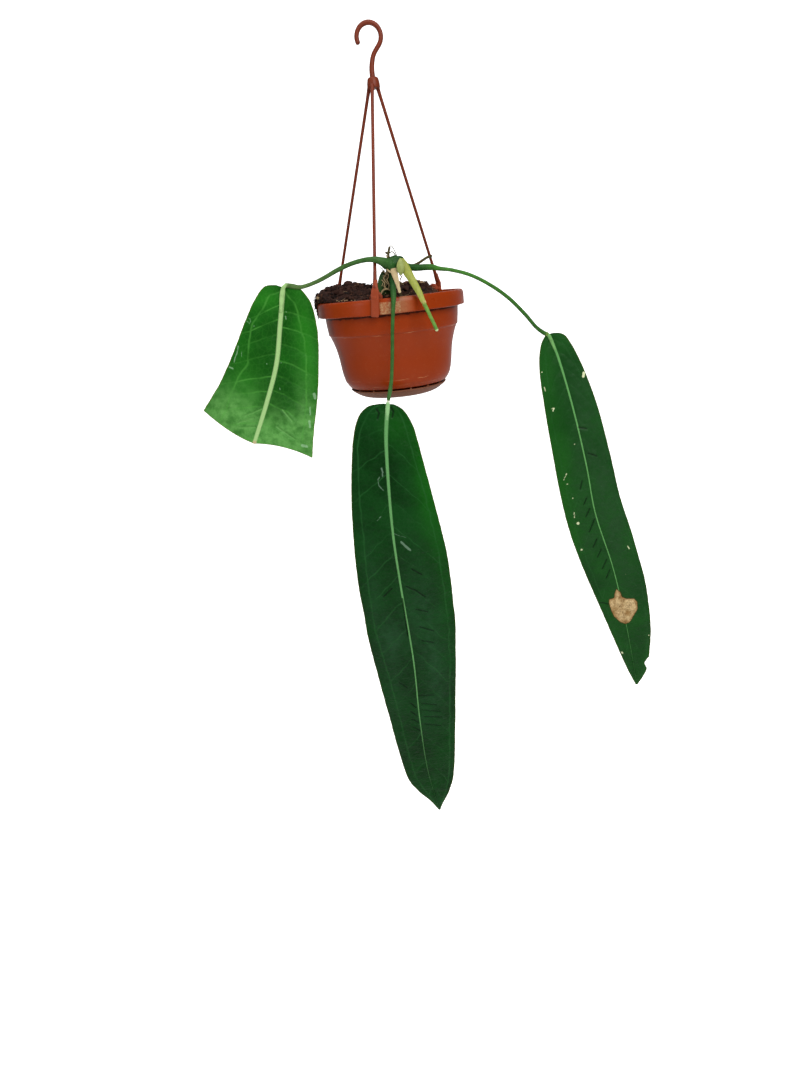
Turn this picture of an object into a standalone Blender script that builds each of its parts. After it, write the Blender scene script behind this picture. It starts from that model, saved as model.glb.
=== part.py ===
"""Long-leaved anthurium in a plastic hanging pot, with a drip tray and a moulded hanger.

Lengths are in millimetres here and become metres when a mesh is made. Pieces are placed
from the plane of the pot's rim, with the pot's axis upright and its front facing -Y. The
origin of the whole object is the point where the hook bears on its rail.
"""
import math
import random

import bmesh
import bpy
from mathutils import Matrix, Vector, noise

MM = 0.001
GAP = 0.3

HOOK_OFFSET = 4.4
HOOK_HEIGHT = 236.0
HOOK_BEND = 11.2
HOOK_ROD_RADIUS = 2.2
HOOK_SHANK_RADIUS = 2.6
HOOK_START = -40
HOOK_STOP = 205
HUB_HEIGHT = 190.0
HUB_LENGTH = 9.0
HUB_FOOT_RADIUS = 6.2
HUB_TOP_RADIUS = 5.0
HUB_EDGE = 0.9

RIM_RADIUS = 75.0
RIM_BAND = 14.6
STEP_DEPTH = 33.2
SHOULDER_DEPTH = 88.0
BASE_DEPTH = 96.3
WALL = 1.6
SKIRT_RADIUS = RIM_RADIUS + 0.5
RIM_ROUNDING = 2.4
INNER_RIM = [(66.9, -23.6), (67.6, -RIM_BAND), (70.4, -4.0), (71.2, -0.6)]
DRAIN_COUNT = 5
DRAIN_RADIUS = 4.5
DRAIN_CIRCLE = 26.0
LATHE_STEPS = 40

TRAY_TOP_DEPTH = 90.0
TRAY_BASE_DEPTH = 98.9
TRAY_FLOOR = 1.4
TRAY_NUBS = 16
TRAY_NUB_PHASE = math.radians(-10.0)

ROD_RADIUS = 1.55
ROD_END_RADIUS = 1.9
ROD_SOCKET_RADIUS = 2.3
ROD_FOOT_RADIUS = 76.5
ROD_FOOT_HEIGHT = 7.0
ROD_MEETING_HEIGHT = 201.0
HUB_RADIUS = 5.6
ROD_AZIMUTHS = {
    "front": math.radians(-11.1),
    "back_left": math.radians(-133.8),
    "back_right": math.radians(133.8),
}
CLIP_AZIMUTHS = {**ROD_AZIMUTHS, "front": math.radians(-12.2)}
CLIP_LEANS = {"front": math.radians(6.5), "back_left": 0.0, "back_right": 0.0}
CLIP_WIDTH = 7.6
CLIP_TAB_TOP = 6.6
CLIP_TAB_BOTTOM = -16.0
CLIP_PLATE = 2.0
CLIP_EDGE = 0.5
SADDLE_TOP = 3.0
BUTTON_RADIUS = 6.2
BUTTON_TOP = 7.0
BUTTON_THICKNESS = 2.6
BUTTON_EDGE = 0.8
BUTTON_INSET = 5.8

HEAP_SPREAD = 38.0

BLADE_THICKNESS = 0.8
BLADE_ROWS = 24
RIB_RELIEF = 0.55
VEIN_RELIEF = 0.35


def clear_scene():
    for old in list(bpy.data.objects):
        bpy.data.objects.remove(old, do_unlink=True)


def material(name, colour, roughness):
    mat = bpy.data.materials.new(name)
    mat.use_nodes = True
    shader = mat.node_tree.nodes["Principled BSDF"]
    shader.inputs["Base Color"].default_value = (*colour, 1.0)
    shader.inputs["Roughness"].default_value = roughness
    shader.inputs["Metallic"].default_value = 0.0
    return mat


def add_object(name, mesh, mat):
    mesh.name = name
    mesh.materials.clear()
    mesh.materials.append(mat)
    mesh.shade_smooth()
    mesh.set_sharp_from_angle(angle=math.radians(35.0))
    obj = bpy.data.objects.new(name, mesh)
    bpy.context.collection.objects.link(obj)
    obj.parent = rim_plane
    return obj


def mesh_of(points, faces):
    """A mesh from millimetre points, with its faces turned outwards."""
    mesh = bpy.data.meshes.new("piece")
    mesh.from_pydata([Vector(p) * MM for p in points], [], faces)
    bm = bmesh.new()
    bm.from_mesh(mesh)
    bmesh.ops.recalc_face_normals(bm, faces=bm.faces)
    bm.to_mesh(mesh)
    bm.free()
    return mesh


def evaluated_mesh(obj):
    depsgraph = bpy.context.evaluated_depsgraph_get()
    return bpy.data.meshes.new_from_object(obj.evaluated_get(depsgraph))


def apply_boolean(obj, cutter_mesh, operation):
    """Cut or join with a mesh in the same frame, and leave a plain mesh behind."""
    cutter = bpy.data.objects.new("cutter", cutter_mesh)
    bpy.context.collection.objects.link(cutter)
    cutter.parent = rim_plane
    cutter.hide_render = True
    cutter.display_type = "WIRE"
    modifier = obj.modifiers.new(operation.lower(), "BOOLEAN")
    modifier.operation = operation
    modifier.solver = "EXACT"
    modifier.object = cutter
    bpy.context.view_layer.update()
    mesh = evaluated_mesh(obj)
    obj.modifiers.clear()
    obj.data = mesh
    mesh.name = obj.name
    bpy.data.objects.remove(cutter, do_unlink=True)
    tidy_mesh(mesh)


def tidy_mesh(mesh):
    """Weld the slivers that a Boolean leaves and split its many-sided faces."""
    bm = bmesh.new()
    bm.from_mesh(mesh)
    bmesh.ops.remove_doubles(bm, verts=bm.verts, dist=0.00002)
    bmesh.ops.dissolve_degenerate(bm, edges=bm.edges, dist=0.00002)
    bmesh.ops.triangulate(bm, faces=[f for f in bm.faces if len(f.verts) > 4])
    bm.to_mesh(mesh)
    bm.free()


def joined(meshes):
    """One mesh holding several, for use as a cutter of separate bodies."""
    bm = bmesh.new()
    for mesh in meshes:
        bm.from_mesh(mesh)
    out = bpy.data.meshes.new("joined")
    bm.to_mesh(out)
    bm.free()
    return out


def around(radius, azimuth, z=0.0):
    """A point at a compass angle round the pot: 0 is the front, positive is to +X."""
    return Vector((radius * math.sin(azimuth), -radius * math.cos(azimuth), z))


def through(points, samples):
    """Points on a smooth curve (Catmull-Rom) through the given tuples of any length."""
    count = len(points)
    out = []
    for i in range(samples):
        u = i * (count - 1) / (samples - 1)
        k = min(int(u), count - 2)
        t = u - k
        p0 = points[max(k - 1, 0)]
        p1 = points[k]
        p2 = points[k + 1]
        p3 = points[min(k + 2, count - 1)]
        out.append(tuple(
            0.5 * (2 * b + (c - a) * t + (2 * a - 5 * b + 4 * c - d) * t * t
                   + (3 * b - a - 3 * c + d) * t ** 3)
            for a, b, c, d in zip(p0, p1, p2, p3)))
    return out


def tube(route, samples, sides=10, grow=0.0, flat=1.0, facing=Vector((0.0, 1.0, 0.0))):
    """A closed tapering tube along (x, y, z, radius) points, rounded at both ends.

    grow thickens it to cut clearance in a neighbour, and flat is its depth to its width.
    """
    stations = through(route, samples)
    centres = [Vector(s[:3]) for s in stations]
    radii = [s[3] + grow for s in stations]
    tangents = []
    for i in range(samples):
        ahead = centres[min(i + 1, samples - 1)]
        behind = centres[max(i - 1, 0)]
        tangents.append((ahead - behind).normalized())
    side = tangents[0].cross(facing).normalized()
    points = []
    rings = []

    def ring(centre, tangent, across, radius):
        depth = tangent.cross(across).normalized()
        first = len(points)
        for k in range(sides):
            a = 2 * math.pi * k / sides
            points.append(centre + across * radius * math.cos(a)
                          + depth * max(radius * flat, grow + 0.4) * math.sin(a))
        rings.append(first)

    cap = 0.45 * (radii[0] - grow) + grow
    ring(centres[0] - tangents[0] * cap, tangents[0], side, radii[0] * 0.6 + grow * 0.4)
    for i in range(samples):
        side = (side - tangents[i] * side.dot(tangents[i])).normalized()
        ring(centres[i], tangents[i], side, radii[i])
    cap = 0.45 * (radii[-1] - grow) + grow
    ring(centres[-1] + tangents[-1] * cap, tangents[-1], side, radii[-1] * 0.6 + grow * 0.4)
    faces = [tuple(reversed(range(rings[0], rings[0] + sides)))]
    for a, b in zip(rings, rings[1:]):
        for k in range(sides):
            n = (k + 1) % sides
            faces.append((a + k, a + n, b + n, b + k))
    faces.append(tuple(range(rings[-1], rings[-1] + sides)))
    return mesh_of(points, faces)


def block(low, high, turn, bevel=0.0, lean=0.0):
    """A box between two corners in a clip's own frame, turned round the pot's axis.

    lean first tips it sideways about the radial line through its middle.
    """
    bm = bmesh.new()
    bmesh.ops.create_cube(bm, size=1.0)
    size = Vector(high) - Vector(low)
    middle = (Vector(high) + Vector(low)) / 2
    for v in bm.verts:
        v.co = Vector((v.co.x * size.x, v.co.y * size.y, v.co.z * size.z)) + middle
    if bevel:
        bmesh.ops.bevel(bm, geom=bm.edges[:], offset=bevel, segments=2, affect="EDGES", profile=0.5)
    about = Matrix.Translation(middle) @ Matrix.Rotation(lean, 4, "Y") @ Matrix.Translation(-middle)
    place = Matrix.Scale(MM, 4) @ Matrix.Rotation(turn, 4, "Z") @ about
    bmesh.ops.transform(bm, matrix=place, verts=bm.verts)
    mesh = bpy.data.meshes.new("block")
    bm.to_mesh(mesh)
    bm.free()
    return mesh


def lathe(name, profile, mat):
    """Turn an open (radius, z) profile, from axis to axis, into a closed body."""
    points = [Vector((r * MM, 0.0, z * MM)) for r, z in profile]
    mesh = bpy.data.meshes.new(name)
    mesh.from_pydata(points, [(i, i + 1) for i in range(len(points) - 1)], [])
    obj = bpy.data.objects.new(name, mesh)
    bpy.context.collection.objects.link(obj)
    obj.parent = rim_plane
    screw = obj.modifiers.new("turn", "SCREW")
    screw.axis = "Z"
    screw.angle = math.tau
    screw.steps = LATHE_STEPS
    screw.render_steps = LATHE_STEPS
    screw.use_merge_vertices = True
    screw.merge_threshold = 0.00005
    bpy.context.view_layer.update()
    turned = evaluated_mesh(obj)
    bpy.data.objects.remove(obj, do_unlink=True)
    return add_object(name, turned, mat)


def arc(centre_r, centre_z, radius, start, stop, count):
    """Points of a circular arc in the (radius, z) plane, angles in degrees."""
    out = []
    for i in range(count):
        a = math.radians(start + (stop - start) * i / (count - 1))
        out.append((centre_r + radius * math.cos(a), centre_z + radius * math.sin(a)))
    return out


# The pot's wall: a skirted rim band, a plain upper wall, a small step, and a body that
# narrows and rounds in to the shoulder over the tray's slot.

def body_outline():
    """Outer radius of the body at each depth below the step, read from its silhouette."""
    return [(66.2, -STEP_DEPTH - 0.6), (63.6, -40.8), (61.4, -48.5), (59.8, -57.0), (58.5, -67.8),
            (57.2, -75.6), (55.2, -82.1), (51.6, -87.4)]


def pot_outer():
    rim = arc(RIM_RADIUS - RIM_ROUNDING, -RIM_ROUNDING, RIM_ROUNDING, 90.0, 5.0, 4)
    band_foot = [(SKIRT_RADIUS, -RIM_BAND + 1.4), (SKIRT_RADIUS - 0.5, -RIM_BAND + 0.3),
                 (SKIRT_RADIUS - 1.6, -RIM_BAND)]
    recess = [(SKIRT_RADIUS - 2.0, -RIM_BAND + 4.0), (69.2, -RIM_BAND + 4.0)]
    upper = [(69.0, -RIM_BAND), (68.4, -23.6), (67.3, -STEP_DEPTH + 0.8), (66.8, -STEP_DEPTH)]
    shoulder = [(50.6, -SHOULDER_DEPTH), (46.6, -SHOULDER_DEPTH)]
    foot = [(44.8, -SHOULDER_DEPTH - 1.2), (40.0, -BASE_DEPTH + 2.3), (37.0, -BASE_DEPTH + 0.3),
            (35.0, -BASE_DEPTH), (0.0, -BASE_DEPTH)]
    return rim + band_foot + recess + upper + body_outline() + shoulder + foot


def pot_inner():
    floor = [(0.0, -BASE_DEPTH + WALL), (34.6, -BASE_DEPTH + WALL), (38.0, -BASE_DEPTH + 3.4)]
    waist = [(43.0, -SHOULDER_DEPTH - 0.6), (49.2, -SHOULDER_DEPTH + WALL + 0.4)]
    body = [(r - WALL, z + 0.6) for r, z in reversed(body_outline()[:-1:2])]
    return floor + waist + body + INNER_RIM


def make_pot():
    pot = lathe("pot", pot_inner() + [(RIM_RADIUS - 3.2, 0.0)] + pot_outer(), terracotta_plastic)
    holes = []
    for k in range(DRAIN_COUNT):
        at = around(DRAIN_CIRCLE, math.tau * k / DRAIN_COUNT, 0.0)
        bm = bmesh.new()
        bmesh.ops.create_cone(bm, cap_ends=True, segments=16, radius1=DRAIN_RADIUS * MM,
                              radius2=DRAIN_RADIUS * MM, depth=5.0 * WALL * MM)
        bmesh.ops.translate(bm, verts=bm.verts, vec=Vector((at.x, at.y, -BASE_DEPTH)) * MM)
        mesh = bpy.data.meshes.new("hole")
        bm.to_mesh(mesh)
        bm.free()
        holes.append(mesh)
    apply_boolean(pot, joined(holes), "DIFFERENCE")
    return pot


# The tray holds the pot's foot. Its nubs reach up to the pot's shoulder and leave a slot.

def make_tray():
    outer = [(50.8, -TRAY_TOP_DEPTH - 0.4), (50.2, -91.0), (48.5, -92.5), (45.5, -94.6), (41.4, -97.0),
             (37.0, -TRAY_BASE_DEPTH + 0.35), (33.5, -TRAY_BASE_DEPTH), (0.0, -TRAY_BASE_DEPTH)]
    inner = [(0.0, -TRAY_BASE_DEPTH + TRAY_FLOOR), (34.0, -TRAY_BASE_DEPTH + TRAY_FLOOR), (41.4, -95.3),
             (45.8, -92.4), (48.7, -TRAY_TOP_DEPTH)]
    tray = lathe("drip_tray", inner + [(50.4, -TRAY_TOP_DEPTH)] + outer, tray_plastic)
    nubs = []
    for k in range(TRAY_NUBS):
        turn = TRAY_NUB_PHASE + math.tau * k / TRAY_NUBS
        low = (-0.7, -50.4, -TRAY_TOP_DEPTH - 0.9)
        high = (0.7, -48.9, -SHOULDER_DEPTH - GAP)
        nubs.append(block(low, high, turn))
    apply_boolean(tray, joined(nubs), "UNION")
    return tray


# The hanger is one moulding in life: hub and hook, three thin rods, and a saddle clip at
# the end of each rod. The rods and clips are their own nodes, so each stays a simple form.

def make_hook():
    centre_z = HOOK_HEIGHT - HOOK_BEND + HOOK_ROD_RADIUS
    turn = []
    for degrees in range(HOOK_START, HOOK_STOP + 1, 15):
        a = math.radians(degrees)
        turn.append((HOOK_OFFSET + HOOK_BEND * math.cos(a), 0.0,
                     centre_z + HOOK_BEND * math.sin(a), HOOK_ROD_RADIUS))
    route = [(HOOK_OFFSET, 0.0, HUB_HEIGHT + 2.0, HOOK_SHANK_RADIUS),
             (HOOK_OFFSET, 0.0, HUB_HEIGHT + 12.0, HOOK_SHANK_RADIUS - 0.2),
             (HOOK_OFFSET + 2.6, 0.0, HUB_HEIGHT + 22.0, HOOK_ROD_RADIUS)] + turn
    hook = add_object("hanger_hook", tube(route, 34, sides=10), hanger_plastic)
    hub = bmesh.new()
    bmesh.ops.create_cone(hub, cap_ends=True, segments=24, radius1=HUB_FOOT_RADIUS * MM,
                          radius2=HUB_TOP_RADIUS * MM, depth=HUB_LENGTH * MM)
    bmesh.ops.bevel(hub, geom=level_edges(hub), offset=HUB_EDGE * MM, segments=2, affect="EDGES", profile=0.5)
    bmesh.ops.translate(hub, verts=hub.verts, vec=Vector((HOOK_OFFSET, 0.0, HUB_HEIGHT)) * MM)
    mesh = bpy.data.meshes.new("hub")
    hub.to_mesh(mesh)
    hub.free()
    apply_boolean(hook, mesh, "UNION")
    sockets = [rod_mesh(azimuth, GAP) for azimuth in ROD_AZIMUTHS.values()]
    for socket in sockets:
        apply_boolean(hook, socket, "DIFFERENCE")
    return hook


def level_edges(bm):
    """The edges of a round body's two flat ends, before it is turned."""
    return [e for e in bm.edges if abs(e.verts[0].co.z - e.verts[1].co.z) < 1e-6]


def rod_mesh(azimuth, grow=0.0):
    foot = around(ROD_FOOT_RADIUS, azimuth, ROD_FOOT_HEIGHT)
    meeting = Vector((HOOK_OFFSET, 0.0, ROD_MEETING_HEIGHT))
    top = foot.lerp(meeting, 1.0 - HUB_RADIUS / ROD_FOOT_RADIUS)
    foot = foot.lerp(meeting, 0.015)
    route = []
    for share, radius in ((0.0, ROD_END_RADIUS), (0.05, ROD_RADIUS), (0.5, ROD_RADIUS), (0.9, ROD_RADIUS),
                          (0.96, ROD_END_RADIUS), (1.0, ROD_SOCKET_RADIUS)):
        at = top.lerp(foot, share)
        route.append((at.x, at.y, at.z, radius))
    return tube(route, len(route), sides=10, grow=grow, facing=around(1.0, azimuth))


def clip_mesh(name, grow=0.0):
    """Outer tab, bridge over the rim and round inner button, as overlapping closed bodies."""
    azimuth = CLIP_AZIMUTHS[name]
    half = CLIP_WIDTH / 2 + grow
    tab_in = -(SKIRT_RADIUS + GAP)
    tab_out = tab_in - CLIP_PLATE
    plate_in = -(RIM_RADIUS - BUTTON_INSET)
    tab = block((-half, tab_out - grow, CLIP_TAB_BOTTOM - grow), (half, tab_in + grow, CLIP_TAB_TOP + grow),
                azimuth, 0.0 if grow else CLIP_EDGE, CLIP_LEANS[name])
    bridge = block((-half + 0.4, tab_in - 0.8, GAP - 2.0 * grow),
                   (half - 0.4, plate_in + 0.6 + grow, SADDLE_TOP + grow), azimuth)
    bm = bmesh.new()
    bmesh.ops.create_cone(bm, cap_ends=True, segments=24, radius1=(BUTTON_RADIUS + grow) * MM,
                          radius2=(BUTTON_RADIUS + grow) * MM, depth=(BUTTON_THICKNESS + 2 * grow) * MM)
    if not grow:
        bmesh.ops.bevel(bm, geom=level_edges(bm), offset=BUTTON_EDGE * MM, segments=2, affect="EDGES",
                        profile=0.5)
    lay = Matrix.Rotation(math.pi / 2, 4, "X")
    centre = Vector((0.0, plate_in + BUTTON_THICKNESS / 2, BUTTON_TOP - BUTTON_RADIUS)) * MM
    place = Matrix.Rotation(azimuth, 4, "Z") @ Matrix.Translation(centre) @ lay
    bmesh.ops.transform(bm, matrix=place, verts=bm.verts)
    button = bpy.data.meshes.new("button")
    bm.to_mesh(button)
    bm.free()
    return tab, bridge, button


def make_hanger():
    make_hook()
    for name, azimuth in ROD_AZIMUTHS.items():
        add_object("hanger_rod_" + name, rod_mesh(azimuth), hanger_plastic)
        tab, bridge, button = clip_mesh(name)
        clip = add_object("hanger_clip_" + name, tab, clip_plastic)
        apply_boolean(clip, bridge, "UNION")
        apply_boolean(clip, button, "UNION")
        apply_boolean(clip, rod_mesh(azimuth, GAP), "DIFFERENCE")


# The potting mix fills the pot and heaps up, highest at the left, where a clump of coir
# has spilled over the rim.

HEAP_CREST = [(-78, 11.0), (-62, 14.5), (-40, 15.5), (-22, 12.0), (-6, 7.5), (10, 9.5), (26, 11.0),
              (37, 8.5), (46, 1.5), (62, 0.0), (78, 0.0)]
RIGHT_HOLLOW = 5.0
HOLLOW_START = 38.0
HOLLOW_RUN = 16.0


def crest_height(x):
    """Height along the heap's crest, from its left end to its right end."""
    for (x0, z0), (x1, z1) in zip(HEAP_CREST, HEAP_CREST[1:]):
        if x <= x1:
            t = min(max((x - x0) / (x1 - x0), 0.0), 1.0)
            return z0 + (z1 - z0) * t * t * (3.0 - 2.0 * t)
    return HEAP_CREST[-1][1]


def heap_height(x, y):
    """Height of the heap over the rim plane, with coarse lumps and a hollow at its right."""
    across = y - (6.0 if x < -10.0 else -4.0)
    swell = crest_height(x) * math.exp(-(across / HEAP_SPREAD) ** 2)
    lumps = 1.5 * noise.noise(Vector((x, y, 3.0)) / 9.0) + 0.8 * noise.noise(Vector((x, y, 9.0)) / 4.0)
    edge = min(1.0, math.hypot(x, y) / (RIM_RADIUS - 5.0))
    t = min(max((x - HOLLOW_START) / HOLLOW_RUN, 0.0), 1.0)
    hollow = RIGHT_HOLLOW * t * t * (3.0 - 2.0 * t)
    return swell + lumps * (1.0 - 0.6 * edge ** 6) + 0.6 - 1.6 * edge ** 10 - hollow


def make_mix(cutters):
    wall = [(r - 1.5 * GAP, z + GAP) for r, z in pot_inner()[1:-1]]
    columns = LATHE_STEPS
    top_radii = [69.0, 66.0, 58.0, 49.0, 39.0, 28.0, 16.0]
    points = []
    for r, z in wall:
        for k in range(columns):
            points.append(around(r, math.tau * k / columns, z))
    for r in top_radii:
        for k in range(columns):
            p = around(r, math.tau * (k + (0.5 if r < 60.0 else 0.0)) / columns)
            p.z = heap_height(p.x, p.y)
            points.append(p)
    rings = len(points) // columns
    faces = []
    for i in range(rings - 1):
        for k in range(columns):
            n = (k + 1) % columns
            a, b = i * columns, (i + 1) * columns
            faces.append((a + k, a + n, b + n))
            faces.append((a + k, b + n, b + k))
    floor = len(points)
    points.append(Vector((0.0, 0.0, points[0].z)))
    crown = len(points)
    points.append(Vector((0.0, 0.0, heap_height(0.0, 0.0))))
    last = (rings - 1) * columns
    for k in range(columns):
        n = (k + 1) % columns
        faces.append((floor, n, k))
        faces.append((crown, last + k, last + n))
    mix = add_object("potting_mix", mesh_of(points, faces), coir)
    for clump in spilled_clumps():
        apply_boolean(mix, clump, "UNION")
    rim_guard = ring_guard()
    apply_boolean(mix, rim_guard, "DIFFERENCE")
    for cutter in cutters:
        apply_boolean(mix, cutter, "DIFFERENCE")
    keep_largest(mix.data)


def spilled_clumps():
    """Coir that stands on the left of the rim, and a clump that hangs down outside it."""
    shelf = []
    for turn, lift, thick in ((-124.0, 2.0, 3.5), (-112.0, 4.0, 6.0), (-96.0, 5.6, 7.4),
                              (-82.0, 5.2, 7.0), (-68.0, 3.0, 5.5), (-58.0, 1.5, 3.0)):
        at = around(RIM_RADIUS - 1.6 - thick, math.radians(turn), lift)
        shelf.append((at.x, at.y, at.z, thick))
    out = [tube(shelf, 14, sides=12)]
    for turn, low in ((-95.0, -10.5), (-86.0, -5.0)):
        a = math.radians(turn)
        inside = around(67.0, a, 5.5)
        over = around(74.4, a + 0.02, 3.6)
        beside = around(76.0, a, -2.5)
        down = around(76.6, a - 0.02, low)
        route = [(*inside, 3.4), (*over, 3.0), (*beside, 2.8), (*down, 1.6)]
        out.append(tube(route, 11, sides=10))
    return out


def ring_guard():
    """The rim band with clearance all round, to keep the mix off it."""
    outer = SKIRT_RADIUS + GAP
    profile = [(r - GAP, z) for r, z in INNER_RIM]
    profile += [(RIM_RADIUS - 3.6, GAP), (RIM_RADIUS - 1.4, GAP), (outer - 0.4, -1.4), (outer, -3.0),
                (outer, -24.0), (69.4, -25.0)]
    columns = LATHE_STEPS
    points = []
    for r, z in profile:
        for k in range(columns):
            points.append(around(r, math.tau * k / columns, z))
    faces = []
    for i in range(len(profile)):
        a, b = i * columns, ((i + 1) % len(profile)) * columns
        for k in range(columns):
            n = (k + 1) % columns
            faces.append((a + k, a + n, b + n, b + k))
    return mesh_of(points, faces)


# The plant. Routes are (x, y, z, radius) points along each stem, from the crown outwards.

STEM = [(-4, -40, -22.1, 7.1), (-3.5, -44, -1.9, 7.7), (-2.5, -48, 6.6, 7.4), (-0.5, -53, 15.1, 6.5),
        (2.5, -57, 21.6, 5.2)]
PETIOLE_LEFT = [(12, -60, 30.4, 5.6), (8.5, -61, 29.3, 7.5), (3.5, -63, 29, 7), (-0.5, -65, 29.6, 5.4),
                (-5.5, -68.5, 32.1, 3.9), (-12.5, -71, 34.5, 2.7), (-22, -70, 34.9, 2.2),
                (-35.5, -64, 32.8, 2.1), (-48.5, -57, 28.8, 2.1), (-63.5, -50, 22.8, 2),
                (-76, -46, 19.1, 1.9), (-86, -44.5, 17.6, 2), (-94, -44.2, 19.4, 2.3),
                (-99.5, -44, 20.6, 2.1)]
CUT_SHEATH = [(10.5, -66, 27, 6.0), (15.5, -69, 22, 4.3), (20.5, -74, 11.9, 3.1), (24, -77.5, 4.6, 3.0),
              (28, -82.2, -6.6, 2.2)]
CUT_PETIOLE = [(30, -83, -10.3, 1.7), (35.5, -85, -24.3, 1.5), (39, -86, -33.3, 1.5)]
PETIOLE_CENTRE = [(2.5, -63, 22.3, 2), (2, -69, 13.9, 2.4), (2, -75, 6.9, 2.8),
                  (1.5, -79.2, -0.8, 2.4), (0, -81, -10.8, 1.8), (-2.5, -80.5, -29, 1.7),
                  (-5, -79, -52.1, 1.7), (-8, -78, -73.5, 1.7), (-10.5, -78, -84.3, 2),
                  (-12.5, -78.2, -91.1, 1.8), (-13.5, -79, -95.1, 1.3)]
PETIOLE_RIGHT = [(14, -57, 26.6, 3.2), (25, -54.5, 23.9, 3), (35, -52, 23.4, 2.9),
                 (42, -50.5, 22.7, 2.7), (48.5, -49, 20.9, 2), (61.5, -47, 18.1, 1.7),
                 (78.5, -44, 12.1, 1.7), (96.5, -42, 1.8, 1.7), (114.5, -40, -12.2, 1.8),
                 (130, -39, -28.6, 1.8), (141, -39, -42.6, 1.8), (148.5, -39.5, -49.3, 2),
                 (152, -40, -51.3, 2)]
DRY_SHEATH = [(2.5, -67, 24, 3.8), (5, -72.2, 17.1, 2.8), (6, -75, 11.3, 2.2), (8, -77.5, 4.2, 1.3)]
AERIAL_ROOT = [(11.5, -53, 28.4, 1.4), (19, -48, 26.4, 1.4), (27, -45, 26.9, 1.3),
               (38.5, -44, 32.1, 1.2), (41.5, -44, 31.8, 1), (42.5, -45, 33.6, 0.7)]
DRY_STUB = [(0.5, -63.5, 32.7, 1.3), (1.5, -64, 38.3, 1.1), (3.5, -64, 44, 0.8)]
DRY_THREAD = [(2.5, -64, 42.5, 0.6), (4.5, -64, 44.4, 0.6), (8, -62.6, 38.6, 0.5)]


def stem_mesh(grow=0.0):
    return tube(STEM, 10, sides=14, grow=grow)


def crown_mesh(grow=0.0):
    return tube(PETIOLE_LEFT, 36, sides=11, grow=grow)


def make_stem():
    stem = add_object("stem", stem_mesh(), old_stem)
    draw = random.Random(41)
    for k in range(6):
        angle = math.radians(-150.0 + 44.0 * k + draw.uniform(-8.0, 8.0))
        high = 10.0 + 9.0 * draw.random()
        out = Vector((math.sin(angle), -math.cos(angle), 0.0))
        core = Vector((-1.2, -50.0 - 0.25 * (high - 10.0), high))
        knee = core + out * (9.0 + 2.5 * draw.random()) + Vector((0.0, 0.0, -3.0))
        foot = knee + out * 1.6
        foot.z = heap_height(foot.x, foot.y) + 2.2
        if foot.z > knee.z - 1.0:
            continue
        start = core + out * 4.0
        route = [(*start, 1.1), (*knee, 1.0), (*foot, 0.8)]
        apply_boolean(stem, tube(route, 6, sides=6), "UNION")
    apply_boolean(stem, crown_mesh(GAP), "DIFFERENCE")
    return stem


def make_plant():
    make_stem()
    crown = crown_mesh(GAP)
    add_object("petiole_left", crown_mesh(), petiole_green)
    sheath = add_object("cut_sheath", tube(CUT_SHEATH, 13, sides=12, flat=0.62), sheath_olive)
    apply_boolean(sheath, crown.copy(), "DIFFERENCE")
    add_object("cut_petiole", tube(CUT_PETIOLE, 6, sides=10), stub_green)
    centre = add_object("petiole_centre", tube(PETIOLE_CENTRE, 26, sides=9), petiole_green)
    right = add_object("petiole_right", tube(PETIOLE_RIGHT, 32, sides=9), petiole_green)
    dry = add_object("dry_sheath", tube(DRY_SHEATH, 10, sides=12, flat=0.22), dry_tan)
    root = add_object("aerial_root", tube(AERIAL_ROOT, 16, sides=8), root_brown)
    stub = add_object("dry_stub", tube(DRY_STUB, 8, sides=8), dry_brown)
    apply_boolean(stub, tube(DRY_THREAD, 8, sides=6), "UNION")
    stem_guard = stem_mesh(GAP)
    sheath_guard = tube(CUT_SHEATH, 13, sides=12, flat=0.62, grow=GAP)
    for piece in (centre, right, dry, root, stub):
        apply_boolean(piece, crown.copy(), "DIFFERENCE")
    for piece in (centre, dry):
        apply_boolean(piece, stem_guard.copy(), "DIFFERENCE")
    for piece in (right, dry):
        apply_boolean(piece, sheath_guard.copy(), "DIFFERENCE")
    for piece in (sheath, centre, right, dry, root, stub):
        keep_largest(piece.data)


def keep_largest(mesh):
    """Drop the loose scraps that a cut leaves, and keep the main body."""
    bm = bmesh.new()
    bm.from_mesh(mesh)
    left = set(bm.verts)
    bodies = []
    while left:
        stack = [left.pop()]
        body = set(stack)
        while stack:
            for edge in stack.pop().link_edges:
                for v in edge.verts:
                    if v in left:
                        left.discard(v)
                        body.add(v)
                        stack.append(v)
        bodies.append(body)
    main = max(bodies, key=len)
    bmesh.ops.delete(bm, geom=[v for v in bm.verts if v not in main], context="VERTS")
    bm.to_mesh(mesh)
    bm.free()


# Blades. Each is drawn flat as (x, z) points: the midrib from the petiole to the tip, and
# the two margins beside it. A rule of its own sets how far forward each point stands.

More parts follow.
